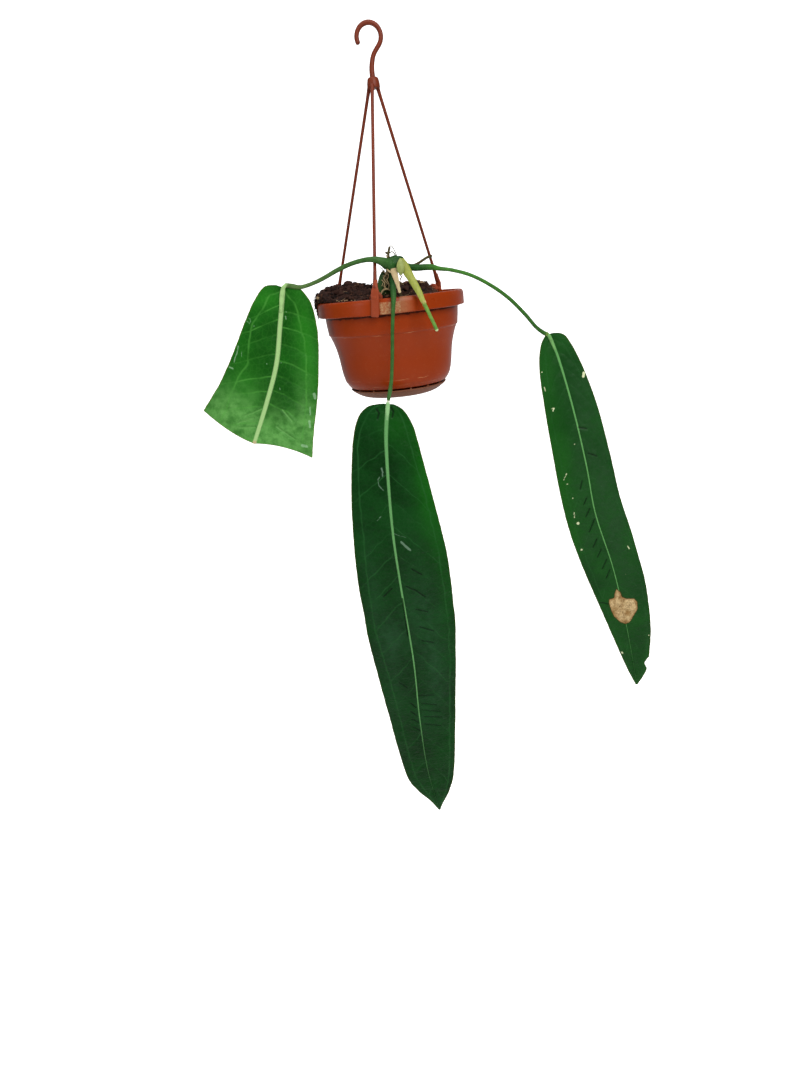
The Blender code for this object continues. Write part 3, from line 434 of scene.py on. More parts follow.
def loft(sections, around_steps=28, square=3.2):
    """A closed body through (z, y, half width, half depth) sections, softly square."""
    points = []
    for z, y, wide, deep in sections:
        for k in range(around_steps):
            a = math.tau * k / around_steps
            c, s = math.cos(a), math.sin(a)
            grow = (abs(c) ** square + abs(s) ** square) ** (-1.0 / square)
            points.append(Vector((wide * grow * c, y + deep * grow * s, z)))
    faces = [tuple(reversed(range(around_steps)))]
    for i in range(len(sections) - 1):
        for k in range(around_steps):
            n = (k + 1) % around_steps
            a, b = i * around_steps, (i + 1) * around_steps
            faces.append((a + k, a + n, b + n, b + k))
    last = (len(sections) - 1) * around_steps
    faces.append(tuple(range(last, last + around_steps)))
    return points, faces


def clip_body(name):
    """Tab outside the band with a shoulder up to the rod, saddle over the rim, inner button."""
    tab_y = -(SKIRT_RADIUS + 0.3 + 1.0)
    tab = loft([(-16.0, tab_y, 2.9, 0.55), (-15.6, tab_y, 3.5, 0.85), (-14.6, tab_y, 3.75, 1.0),
                (-8.0, tab_y, 3.75, 1.0),
                (0.0, tab_y, 3.75, 1.0), (6.6, tab_y, 3.75, 1.0), (7.8, tab_y + 0.1, 3.6, 1.05),
                (9.0, tab_y + 0.4, 3.1, 1.15),
                (11.0, tab_y + 0.9, 2.5, 1.35), (13.5, tab_y + 1.6, 2.05, 1.5),
                (17.0, tab_y + 2.7, 1.75, 1.55)])
    lean_at = Matrix.Translation(Vector((0.0, tab_y, -4.7)))
    lean = lean_at @ Matrix.Rotation(math.radians(CLIP_LEANS[name]), 4, "Y") @ lean_at.inverted()
    tab = moved(tab, lean)
    saddle = loft([(0.3, -73.0, 3.2, 5.0), (0.5, -73.0, 3.4, 5.1), (2.7, -73.0, 3.4, 5.1),
                   (3.0, -73.0, 3.1, 4.9)], 28, 5.0)
    face = [(0.0, -1.3), (5.0, -1.3), (5.7, -1.15), (6.1, -0.8), (6.2, -0.4), (6.2, 0.3), (6.0, 0.8),
            (5.3, 1.2),
            (4.0, 1.55), (2.0, 1.75), (0.0, 1.8)]
    button = turned(face, 48)
    lay = Matrix.Translation(Vector((0.0, -67.9, 0.8))) @ Matrix.Rotation(-math.pi / 2, 4, "X")
    body = together([tab, saddle, moved(button, lay)])
    return moved(body, Matrix.Rotation(math.radians(CLIP_AZIMUTHS[name]), 4, "Z"))


def hook_body():
    turn = [(HOOK_OFFSET + HOOK_BEND * math.cos(math.radians(d)), 0.0,
             HOOK_CENTRE + HOOK_BEND * math.sin(math.radians(d)), HOOK_ROD) for d in range(-40, 206, 15)]
    route = [(HOOK_OFFSET, 0.0, HUB_HEIGHT + 2.0, 2.6), (HOOK_OFFSET, 0.0, HUB_HEIGHT + 12.0, 2.4),
             (HOOK_OFFSET + 2.6, 0.0, HUB_HEIGHT + 22.0, 2.2)] + turn
    hub = turned([(0.0, -4.5), (5.4, -4.5), (6.0, -4.2), (6.15, -3.6), (5.9, 0.0), (5.2, 3.2), (4.6, 4.1),
                  (3.6, 4.5),
                  (0.0, 4.5)], 64)
    return together([tube(route, 90, 20),
                     moved(hub, Matrix.Translation(Vector((HOOK_OFFSET, 0.0, HUB_HEIGHT))))])


# Brown-red polypropylene, moulded thin: the rods are darker than the pot and catch a fine
# streak of light; the clips are thicker, a shade lighter and scuffed where they were pushed on.
hanger_finishes = []
for finish_name, low_tone, high_tone in (("brown polypropylene rod, moulded", "#5E2614", "#7C321A"),
                                         ("brown polypropylene clip, scuffed", "#7E3018", "#9A4628")):
    mat, shader = new_finish(finish_name, {"IOR": 1.49, "Specular IOR Level": 0.2, "Roughness": 0.4})
    at = add_node(mat, "TexCoord", {}, {}).outputs["Object"]
    scuff = add_node(mat, "TexNoise", {}, {"Vector": at, "Scale": 1000 / 5, "Detail": 6.0, "Roughness": 0.7})
    tone = add_node(mat, "Mix", RGBA, {
        0: scuff.outputs["Fac"], 6: linear(low_tone), 7: linear(high_tone)})
    grit = add_node(mat, "TexNoise", {}, {"Vector": at, "Scale": 1000 / 0.8, "Detail": 2.0})
    bump = add_node(mat, "Bump", {}, {"Height": grit.outputs["Fac"], "Strength": 0.12, "Distance": 0.0002})
    feed(mat, shader, {"Base Color": tone.outputs[2], "Normal": bump.outputs[0]})
    hanger_finishes.append(mat)
rod_pp, clip_pp = hanger_finishes

piece("hanger_hook", hook_body(), [rod_pp], ("hanger_hook",))
for name in ROD_AZIMUTHS:
    piece("hanger_rod_" + name, rod_body(name), [rod_pp], ("hanger_rod_" + name,))
    piece("hanger_clip_" + name, clip_body(name), [clip_pp], ("hanger_clip_" + name,))


# THE POTTING MIX: coir chips and peat, filled by hand and heaped at the left, where it has
# spilled over the rim. Loose fibres stand out of it and hang down outside the band.
HEAP_CREST = [(-78, 11.0), (-62, 14.5), (-40, 15.5), (-22, 12.0), (-6, 7.5), (10, 9.5), (26, 11.0),
              (37, 8.5), (46, 1.5), (62, 0.0), (78, 0.0)]
RIGHT_HOLLOW = 5.0
HOLLOW_START = 38.0
HOLLOW_RUN = 16.0
HEAP_SPREAD = 38.0
MIX_RADIUS = 69.0
MIX_RINGS = 64
MIX_STEPS = 300
MIX_FLOOR = -94.0
CHIP_COUNT = 330
FIBRE_COUNT = 820
PALE_SPECKS = [(-46, 70.2, 0.9), (-43, 69.8, 1.2), (-39.5, 70, 1.0), (-38, 69.2, 1.3), (-33, 70, 0.8),
               (-49, 69.4, 1.6), (-30, 69.6, 0.6)]
SPILL_CHIPS = 150
SPILL_FIBRES = 150
FRINGE_FIBRES = 64


def crest_height(x):
    for (x0, z0), (x1, z1) in zip(HEAP_CREST, HEAP_CREST[1:]):
        if x <= x1:
            t = min(max((x - x0) / (x1 - x0), 0.0), 1.0)
            return z0 + (z1 - z0) * t * t * (3.0 - 2.0 * t)
    return HEAP_CREST[-1][1]


def heap_height(x, y):
    across = y - (6.0 if x < -10.0 else -4.0)
    swell = crest_height(x) * math.exp(-(across / HEAP_SPREAD) ** 2)
    lumps = 1.5 * noise.noise(Vector((x, y, 3.0)) / 9.0) + 0.8 * noise.noise(Vector((x, y, 9.0)) / 4.0)
    edge = min(1.0, math.hypot(x, y) / (RIM_RADIUS - 5.0))
    t = min(max((x - HOLLOW_START) / HOLLOW_RUN, 0.0), 1.0)
    hollow = RIGHT_HOLLOW * t * t * (3.0 - 2.0 * t)
    return swell + lumps * (1.0 - 0.6 * edge ** 6) + 0.6 - 1.6 * edge ** 10 - hollow


def crumbs(x, y, z, edge):
    """The rough crumbs of the mix, from pea size down to grit."""
    p = Vector((x, y, z))
    rough = noise.noise(p / 6.5) * 2.4 - abs(noise.noise(p / 3.4)) * 2.2 + noise.noise(p / 1.5) * 0.8
    return rough * edge


def mix_surface():
    steps, points, shade = MIX_STEPS, [], []
    radii = [MIX_RADIUS + 0.6, MIX_RADIUS + 0.2]
    radii += [MIX_RADIUS * (1.0 - i / MIX_RINGS) for i in range(1, MIX_RINGS)]
    for i, r in enumerate(radii):
        for k in range(steps):
            p = around(r, math.tau * (k + 0.5 * (i % 2)) / steps)
            lift = crumbs(p.x, p.y, 0.0, 1.0 if i > 2 else 0.3)
            p.z = heap_height(p.x, p.y) + lift - (3.0 if i == 0 else 0.0)
            points.append(p)
            # The crumbs' height sets their shade value: the material paints shade into the hollows and a
            # highlight onto the crests.
            shade.append(min(max(0.42 + 0.16 * lift, 0.0), 0.8))
    faces = []
    for i in range(len(radii) - 1):
        for k in range(steps):
            n = (k + 1) % steps
            a, b = i * steps, (i + 1) * steps
            if i % 2 == 0:
                faces += [(a + k, a + n, b + k), (a + n, b + n, b + k)]
            else:
                faces += [(a + k, a + n, b + n), (a + k, b + n, b + k)]
    last = (len(radii) - 1) * steps
    points.append(Vector((0.0, 0.0, heap_height(0.0, 0.0))))
    shade.append(0.5)
    for k in range(steps):
        faces.append((len(points) - 1, last + k, last + (k + 1) % steps))
    wall = [(69.4, -6.0), (67.0, -15.0), (66.0, -24.0), (64.0, -36.0), (57.0, -60.0), (48.0, -84.0),
            (34.0, MIX_FLOOR)]
    # The mix's sides down the pot wall get a low shade value, so they take painted shade too.
    for r, z in wall:
        for k in range(steps):
            points.append(around(min(r, MIX_RADIUS + 0.2), math.tau * k / steps, z))
            shade.append(0.3)
    start = (len(radii)) * steps + 1
    for i in range(len(wall)):
        a = 0 if i == 0 else start + (i - 1) * steps
        b = start + i * steps
        for k in range(steps):
            n = (k + 1) % steps
            faces.append((a + k, b + k, b + n, a + n))
    points.append(Vector((0.0, 0.0, MIX_FLOOR)))
    shade.append(0.3)
    for k in range(steps):
        faces.append((len(points) - 1, start + (len(wall) - 1) * steps + (k + 1) % steps,
                      start + (len(wall) - 1) * steps + k))
    return points, faces, {"shade": shade}


CHIP_ROUND = bmesh.new()
bmesh.ops.create_icosphere(CHIP_ROUND, subdivisions=2, radius=1.0)
CHIP_POINTS = [v.co.copy() for v in CHIP_ROUND.verts]
CHIP_FACES = [tuple(v.index for v in f.verts) for f in CHIP_ROUND.faces]
CHIP_ROUND.free()


def chip(draw, where, size):
    """One irregular lump of coir or bark."""
    stretch = Vector((draw.uniform(0.7, 1.5), draw.uniform(0.6, 1.1), draw.uniform(0.45, 0.9))) * size
    turn = Matrix.Rotation(draw.uniform(0, 6.3), 3, "Z") @ Matrix.Rotation(draw.uniform(-0.8, 0.8), 3, "X")
    seed = Vector((draw.uniform(0, 99), draw.uniform(0, 99), 0.0))
    points = []
    for p in CHIP_POINTS:
        bulge = 1.0 + 0.55 * noise.noise(p * 1.4 + seed) + 0.25 * noise.noise(p * 3.5 + seed)
        q = p * bulge
        points.append(turn @ Vector((q.x * stretch.x, q.y * stretch.y, q.z * stretch.z)) + where)
    return points, CHIP_FACES, {"shade": [draw.random()] * len(points)}


def fibre(draw, where, heading, length, radius, curl=0.9):
    """One loose coir fibre that bends as it goes."""
    p, way = Vector(where), Vector(heading).normalized()
    route = []
    for i in range(5):
        route.append((*p, radius * (1.0 - 0.12 * i)))
        p = p + way * length / 4.0
        way = (way + Vector([draw.uniform(-curl, curl) for _ in range(3)]) * 0.6).normalized()
    body = tube(route, 9, 5, ends=1)
    return body[0], body[1], {"shade": [draw.random()] * len(body[0])}


def on_rim_side(turn, out, z):
    return around(SKIRT_RADIUS + out, math.radians(turn), z)


def mix_litter():
    draw = random.Random(7)
    bodies = []
    for _ in range(CHIP_COUNT):
        a, r = draw.uniform(0, math.tau), MIX_RADIUS * math.sqrt(draw.random())
        p = around(r, a)
        size = draw.uniform(0.6, 1.9) if draw.random() < 0.7 else draw.uniform(1.9, 3.4)
        size = min(size, 1.0 + (70.5 - r) * 0.4)
        p.z = heap_height(p.x, p.y) + size * draw.uniform(-0.1, 0.45)
        bodies.append(chip(draw, p, size))
    for _ in range(FIBRE_COUNT):
        a, r = draw.uniform(0, math.tau), 68.0 * math.sqrt(draw.random())
        p = around(r, a)
        p.z = heap_height(p.x, p.y) + crumbs(p.x, p.y, 0.0, 1.0) + 0.5
        way = (draw.uniform(-1, 1), draw.uniform(-1, 1), draw.uniform(-0.2, 0.2 if r < 60.0 else 0.0))
        bodies.append(fibre(draw, p, way, draw.uniform(3, 9), draw.uniform(0.16, 0.36)))
    for turn, r, lift in PALE_SPECKS:
        speck = chip(draw, around(r, math.radians(turn), lift), 0.75)
        bodies.append((*speck[:2], {"shade": [1.0] * len(speck[0])}))
    return bodies


def spill_core():
    """The coir that lies on the left of the rim, and its fringe outside the band."""
    shelf = []
    for turn, lift, thick in ((-126.0, 1.6, 3.0), (-112.0, 4.0, 6.0), (-96.0, 5.6, 7.2),
                              (-82.0, 5.2, 7.0), (-68.0, 3.0, 5.5), (-56.0, 1.2, 2.8)):
        at = around(RIM_RADIUS - 1.8 - thick, math.radians(turn), lift)
        shelf.append((at.x, at.y, at.z, thick))

    def rough(share, a):
        p = Vector((share * 26.0, math.cos(a) * 2.4, math.sin(a) * 2.4))
        return 1.3 * noise.noise(p) + 0.8 * noise.noise(p * 2.3)

    bodies = [tube(shelf, 70, 28, skin=rough)]
    for turn, low in ((-95.0, -9.5), (-86.0, -4.5)):
        a = math.radians(turn)
        route = [(*around(67.0, a, 5.5), 3.2), (*around(74.4, a + 0.02, 3.4), 2.8),
                 (*around(76.4, a, -2.5), 1.9), (*around(77.0, a - 0.02, low), 0.9)]
        bodies.append(tube(route, 26, 14, skin=lambda s,
                           t: 0.6 * noise.noise(Vector((s * 9.0, math.cos(t), math.sin(t))))))
    for body in bodies:
        body[2].clear()
        body[2]["shade"] = [0.35 + 0.4 * noise.noise(p / 2.0) for p in body[0]]
    draw = random.Random(12)
    for _ in range(SPILL_CHIPS):
        turn = draw.triangular(-126, -58, -94)
        p = around(RIM_RADIUS + 0.5 - draw.uniform(0.5, 12.0), math.radians(turn), draw.uniform(2.0, 9.0))
        bodies.append(chip(draw, p, draw.uniform(0.7, 2.3)))
    for _ in range(SPILL_FIBRES):
        turn = draw.triangular(-122, -64, -93)
        out = draw.uniform(-2.5, 0.9)
        p = around(RIM_RADIUS + out, math.radians(turn), draw.uniform(0.5, 5.5))
        away = around(1.0, math.radians(turn))
        way = away * draw.uniform(-0.1,
                                  0.5) + Vector((draw.uniform(-0.4, 0.4), draw.uniform(-0.4, 0.4),
                                                 draw.uniform(-1.0, 0.5)))
        bodies.append(fibre(draw, p, way, draw.uniform(3.5, 8.0), draw.uniform(0.15, 0.32)))
    for _ in range(FRINGE_FIBRES):
        turn = draw.triangular(-104, -80, -93)
        high = draw.uniform(-9.0, 2.0)
        p = on_rim_side(turn, draw.uniform(0.3, 1.5), high)
        way = Vector((draw.uniform(-0.25, 0.1), draw.uniform(-0.3, 0.3), -1.0))
        bodies.append(fibre(draw, p, way, min(draw.uniform(3.0, 9.0), high + 17.5), draw.uniform(0.16, 0.34),
                            0.45))
    return bodies


# Coir and peat, chopped and damp: matt and brown on the fibres; painted shade makes it near black in the
# hollows of the surface, and a painted highlight lightens its crests.
damp_coir, coir_shader = new_finish("coir and peat, chopped and damp", {
    "Roughness": 0.92, "IOR": 1.45, "Specular IOR Level": 0.25})
at = add_node(damp_coir, "TexCoord", {}, {}).outputs["Object"]
own = add_node(damp_coir, "Attribute", {"attribute_name": "shade"}, {}).outputs["Fac"]
grain = add_node(damp_coir, "TexNoise", {},
                 {"Vector": at, "Scale": 1000 / 2.5, "Detail": 8.0, "Roughness": 0.75})
earth = add_node(damp_coir, "Mix", RGBA, {
    0: grain.outputs["Fac"], 6: linear("#120703"), 7: linear("#40241A")})
# Low shade values darken towards near black: a darker tone on chips and fibres, painted shade in the hollows of
# the surface.
dark_bits_and_hollow_shade = add_node(damp_coir, "MapRange", SMOOTH, {
    "Value": own, "From Min": 0.42, "From Max": 0.12, "To Max": 0.85})
earth = add_node(damp_coir, "Mix", RGBA, {
    0: dark_bits_and_hollow_shade.outputs[0], 6: earth.outputs[2], 7: linear("#0A0402")})
# High shade values lighten towards tan: a drier tone on chips and fibres, a painted highlight on the crests of
# the surface.
dry_bits_and_crest_highlight = add_node(damp_coir, "MapRange", SMOOTH, {
    "Value": own, "From Min": 0.55, "From Max": 1.0, "To Max": 0.8})
earth_with_crest_highlight = add_node(damp_coir, "Mix", RGBA, {
    0: dry_bits_and_crest_highlight.outputs[0], 6: earth.outputs[2], 7: linear("#6A4634")})
pale = add_node(damp_coir, "MapRange", SMOOTH, {
    "Value": own, "From Min": 0.965, "From Max": 0.985, "To Max": 0.8})
earth_pale = add_node(damp_coir, "Mix", RGBA, {
    0: pale.outputs[0], 6: earth_with_crest_highlight.outputs[2], 7: linear("#A58C6A")})
coir_bump = add_node(damp_coir, "Bump", {},
                     {"Height": grain.outputs["Fac"], "Strength": 0.8, "Distance": 0.0008})
feed(damp_coir, coir_shader, {"Base Color": earth_pale.outputs[2], "Normal": coir_bump.outputs[0]})
piece("potting_mix", together([mix_surface()] + mix_litter()), [damp_coir], ("potting_mix",))
piece("spilled_coir", together(spill_core()), [damp_coir], ("potting_mix",))


# THE STEM: a short thick old stem, corky and ringed where leaves have been shed, wrapped in
# their fibrous remains, with roots that come out of it and dive into the mix.
STEM = [(-4, -40, -22.1, 6.6), (-3.5, -44, -1.9, 7.2), (-2.5, -48, 6.6, 7.0), (-0.5, -53, 15.1, 6.2),
        (2.5, -57, 21.6, 5.0)]


def corky(share, a):
    ring = 0.35 * math.sin(share * 46.0) ** 8
    p = Vector((share * 14.0, 2.0 * math.cos(a), 2.0 * math.sin(a)))
    return 0.9 * noise.noise(p) + 0.5 * noise.noise(p * 2.4) + ring


def wandering(draw, start, way, length, radius, curl, drop=0.0, steps=7):
    """A root or shred that wanders from its start and sinks by drop at each step."""
    p, heading, route = Vector(start), Vector(way).normalized(), []
    for i in range(steps):
        route.append((*p, radius * (1.0 - 0.45 * i / steps)))
        p = p + heading * length / steps
        turn = Vector([draw.uniform(-curl, curl) for _ in range(3)])
        heading = (heading + turn + Vector((0.0, 0.0, -drop))).normalized()
    return tube(route, steps * 4, 7, ends=1)


def stem_roots():
    draw = random.Random(23)
    bodies = []
    for k in range(15):
        a = math.radians(-165 + 22 * k + draw.uniform(-9, 9))
        out = Vector((math.sin(a), -math.cos(a), 0.0))
        z = draw.uniform(2.0, 17.0)
        core = Vector((-2.2 + 0.12 * z, -49.0 - 0.35 * (z - 8.0), z))
        start = core + out * 5.5
        bodies.append(wandering(draw, start, out + Vector((0, 0, draw.uniform(-0.4, 0.5))),
                                draw.uniform(9, 17),
                                draw.uniform(0.35, 0.8), 0.42, 0.34))
    return bodies


def stem_shreds():
    draw = random.Random(31)
    bodies = []
    for k in range(22):
        a = math.radians(draw.uniform(-110, 60))
        out = Vector((math.sin(a), -math.cos(a), 0.0))
        z = draw.uniform(6.0, 24.0)
        core = Vector((-2.2 + 0.14 * z, -49.0 - 0.4 * (z - 8.0), z))
        bodies.append(wandering(draw, core + out * 5.2,
                                out * 0.5 + Vector((draw.uniform(-.6, .6), 0, draw.uniform(-1.0, .9))),
                                draw.uniform(5, 13), draw.uniform(0.14, 0.3), 0.75, 0.1, 6))
    return bodies


# Old stem bark: cork over green, rough and dry, with moss in its cracks.
stem_bark, bark_shader = new_finish("anthurium stem, corky",
                                    {"Roughness": 0.9, "IOR": 1.45, "Specular IOR Level": 0.2})
at = add_node(stem_bark, "TexCoord", {}, {}).outputs["Object"]
cracks = add_node(stem_bark, "TexNoise", {},
                  {"Vector": at, "Scale": 1000 / 4, "Detail": 8.0, "Roughness": 0.7})
bark = add_node(stem_bark, "Mix", RGBA, {
    0: cracks.outputs["Fac"], 6: linear("#241C10"), 7: linear("#5A5230")})
moss = add_node(stem_bark, "TexNoise", {}, {"Vector": at, "Scale": 1000 / 9, "Detail": 3.0})
moss_amount = add_node(stem_bark, "MapRange", {},
                       {"Value": moss.outputs["Fac"], "From Min": 0.5, "From Max": 0.62})
mossy = add_node(stem_bark, "Mix", RGBA, {
    0: moss_amount.outputs[0], 6: bark.outputs[2], 7: linear("#2E4420")})
bark_bump = add_node(stem_bark, "Bump", {},
                     {"Height": cracks.outputs["Fac"], "Strength": 0.9, "Distance": 0.001})
feed(stem_bark, bark_shader, {"Base Color": mossy.outputs[2], "Normal": bark_bump.outputs[0]})

# Dead sheath fibre and root skin, dried: cream to tan, matt, streaked along its length.
dry_fibres = []
for finish_name, low_tone, high_tone in (("anthurium root skin, dried", "#6E5A3A", "#B8A47C"),
                                         ("leaf sheath, dried to paper", "#8A7450", "#D0BC92"),
                                         ("leaf stalk stub, withered", "#2C2A14", "#5E5432")):
    mat, shader = new_finish(finish_name, {"Roughness": 0.85, "IOR": 1.45, "Specular IOR Level": 0.2})
    at = add_node(mat, "TexCoord", {}, {}).outputs["Object"]
    along = add_node(mat, "Mapping", {}, {"Vector": at, "Scale": (1.0, 1.0, 0.25)})
    streak = add_node(mat, "TexNoise", {},
                      {"Vector": along.outputs[0], "Scale": 1000 / 1.6, "Detail": 5.0, "Roughness": 0.7})
    tone = add_node(mat, "Mix", RGBA, {
        0: streak.outputs["Fac"], 6: linear(low_tone), 7: linear(high_tone)})
    bump = add_node(mat, "Bump", {}, {"Height": streak.outputs["Fac"], "Strength": 0.6, "Distance": 0.0005})
    feed(mat, shader, {"Base Color": tone.outputs[2], "Normal": bump.outputs[0]})
    dry_fibres.append(mat)
root_skin, dry_paper, withered = dry_fibres

piece("stem", tube(STEM, 80, 40, skin=corky), [stem_bark], ("stem",))
piece("stem_roots", together(stem_roots()), [root_skin])
piece("stem_shreds", together(stem_shreds()), [dry_paper])


# THE LEAF STALKS: living, smooth and round, and finely ribbed along their length. They rise
# from the crown and arch out to each blade, where a short swollen knee lets the leaf turn.
PETIOLE_LEFT = [(12, -60, 30.4, 5.6), (8.5, -61, 29.3, 7.5), (3.5, -63, 29, 7), (-0.5, -65, 29.6, 5.4),
                (-5.5, -68.5, 32.1, 3.9), (-12.5, -71, 34.5, 2.7), (-22, -70, 34.9, 2.2),
                (-35.5, -64, 32.8, 2.1), (-48.5, -57, 28.8, 2.1), (-63.5, -50, 22.8, 2),
                (-76, -46, 19.1, 1.9), (-86, -44.5, 17.6, 2), (-94, -44.2, 19.4, 2.3),
                (-99.5, -44, 20.6, 2.1)]
PETIOLE_CENTRE = [(2.5, -63, 22.3, 2), (2, -69, 13.9, 2.4), (2, -75, 6.9, 2.8),
                  (1.5, -79.2, -0.8, 2.4), (0, -81, -10.8, 1.8), (-2.5, -80.5, -29, 1.7),
                  (-5, -79, -52.1, 1.7), (-8, -78, -73.5, 1.7), (-10.5, -78, -84.3, 2),
                  (-12.5, -78.2, -91.1, 1.8), (-13.5, -79, -95.1, 1.3)]
PETIOLE_RIGHT = [(14, -57, 26.6, 3.2), (25, -54.5, 23.9, 3), (35, -52, 23.4, 2.9),
                 (42, -50.5, 22.7, 2.7), (48.5, -49, 20.9, 2), (61.5, -47, 18.1, 1.7),
                 (78.5, -44, 12.1, 1.7), (96.5, -42, 1.8, 1.7), (114.5, -40, -12.2, 1.8),
                 (130, -39, -28.6, 1.8), (141, -39, -42.6, 1.8), (148.5, -39.5, -49.3, 2),
                 (152, -40, -51.3, 2)]


def ribbed(share, a):
    """Fine ribs along a stalk."""
    return 0.05 * math.cos(9.0 * a) + 0.1 * noise.noise(Vector((share * 30.0, math.cos(a), math.sin(a))))


def stalk_skin(name, near, middle, far, knee):
    """Living stalk skin: green that turns with the run from crown to knee, lightly waxed,
    with pale breathing pores as fine flecks and a paler knee."""
    mat, shader = new_finish(name, {"Roughness": 0.42, "IOR": 1.45, "Specular IOR Level": 0.12})
    at = add_node(mat, "TexCoord", {}, {}).outputs["Object"]
    run = add_node(mat, "Attribute", {"attribute_name": "run"}, {}).outputs["Fac"]
    tone = linear(near)
    for low, high, colour in ((0.1, 0.35, middle), (0.45, 0.85, far), (0.955, 0.985, knee)):
        amount = add_node(mat, "MapRange", SMOOTH, {
            "Value": run, "From Min": low, "From Max": high})
        tone = add_node(mat, "Mix", RGBA, {0: amount.outputs[0], 6: tone, 7: linear(colour)}).outputs[2]
    mottle = add_node(mat, "TexNoise", {}, {"Vector": at, "Scale": 1000 / 6, "Detail": 4.0})
    mottle_amount = add_node(mat, "MapRange", {}, {
        "Value": mottle.outputs["Fac"], "From Min": 0.35, "From Max": 0.7, "To Min": 0.8, "To Max": 1.15})
    toned = add_node(mat, "HueSaturation", {}, {"Value": mottle_amount.outputs[0], "Color": tone})
    fleck = add_node(mat, "TexVoronoi", {}, {"Vector": at, "Scale": 1000 / 1.4})
    fleck_amount = add_node(mat, "MapRange", {}, {
        "Value": fleck.outputs["Distance"], "From Min": 0.16, "From Max": 0.06, "To Max": 0.35})
    flecked = add_node(mat, "Mix", RGBA, {
        0: fleck_amount.outputs[0], 6: toned.outputs["Color"], 7: linear("#A9C08A")})
    feed(mat, shader, {"Base Color": flecked.outputs[2]})
    return mat


left_skin = stalk_skin("leaf stalk, living, left", "#1A4416", "#38602C", "#4E6C38", "#5A7A3E")
# The centre stalk's near-white knee tone is a painted highlight.
centre_skin = stalk_skin("leaf stalk, living, centre", "#16401A", "#36602C", "#3A6430", "#B5BFA0")
right_skin = stalk_skin("leaf stalk, living, right", "#1E4A18", "#3E7428", "#2E5A20", "#66803A")
piece("petiole_left", tube(PETIOLE_LEFT, 160, 28, skin=ribbed), [left_skin], ("petiole_left",))
piece("petiole_centre", tube(PETIOLE_CENTRE, 130, 24, skin=ribbed), [centre_skin],
      ("petiole_centre",))
piece("petiole_right", tube(PETIOLE_RIGHT, 160, 24, skin=ribbed), [right_skin], ("petiole_right",))


# THE CROWN'S REMAINS: a leaf was cut off here, and its flat olive sheath still clasps the
# crown and ends in a green cut stub. Beside it are a papery sheath, a withered stub with a
# thread, an aerial root and a green scale at the foot of the stem.
CLASP = [(11.6, -70.4, 32.6, 1.0), (11.3, -71.6, 30.0, 2.6), (11.0, -72.2, 26.5, 3.7),
         (10.8, -72.0, 22.6, 3.4),
         (10.9, -71.6, 19.8, 1.6)]
CUT_SHEATH = [(13.2, -67.5, 31.5, 2.2), (14.4, -68.5, 27.5, 3.6), (16.9, -70.5, 20.7, 4.1),
              (19.5, -73, 15.2, 3.6),
              (25.1, -77.5, 3.2, 2.9), (28.0, -81, -5, 2.3), (29.4, -82.4, -7.5, 1.9)]
CUT_PETIOLE = [(29, -82.6, -8.5, 1.85), (30, -83, -10.3, 1.8), (35.5, -85, -24.3, 1.6),
               (38.6, -86, -32.6, 1.6)]
DRY_SHEATH = [(4.4, -68.5, 24, 3.0), (5.2, -70.5, 19.5, 2.9), (6.3, -73, 13.4, 2.1), (7.3, -75.6, 7.3, 1.4),
              (7.8, -77.3, 4.0, 1.15)]
DRY_FRINGE = [(-1.8, -67.5, 25.2, 0.5), (0.6, -68.2, 22.8, 0.8), (3.4, -69, 21.6, 0.6)]
DRY_HAIRS = [[(7.8, -77.3, 3.9, 0.3), (9.0, -77.8, 2.2, 0.22), (10.3, -78, 0.8, 0.15)],
             [(7.4, -77.2, 3.9, 0.3), (7.7, -78, 1.9, 0.22), (8.9, -78.4, 0.2, 0.15)],
             [(7.0, -77.2, 4.1, 0.25), (6.6, -78, 2.6, 0.15)]]
AERIAL_ROOT = [(11.5, -53, 28.4, 1.4), (19, -48, 26.4, 1.4), (27, -45, 26.9, 1.3),
               (38.5, -44, 32.1, 1.2), (41.5, -44, 31.8, 1), (42.5, -45, 33.6, 0.7)]
DRY_STUB = [(0.9, -63.6, 33.5, 1.2), (1.2, -63.9, 38.3, 1.15), (2.7, -64, 43.6, 1.1)]
DRY_THREADS = [[(2.6, -64, 43.8, 0.35), (4.1, -64, 44.9, 0.35), (5.4, -64, 44.0, 0.35),
                (7.0, -63.6, 40.9, 0.35), (8.8, -63, 36.0, 0.4)],
               [(2.6, -63.4, 38.8, 0.35), (4.4, -63.2, 39.9, 0.4), (6.2, -63, 38.6, 0.45),
                (7.8, -62.8, 36.0, 0.5)]]
SCALE_LEAF = [(-4.6, -59, 24, 1.0), (-6.4, -60, 20, 2.4), (-8.2, -60.5, 14.5, 3.0), (-9.8, -61, 8.5, 3.0),
              (-10.6, -61, 3, 2.4)]
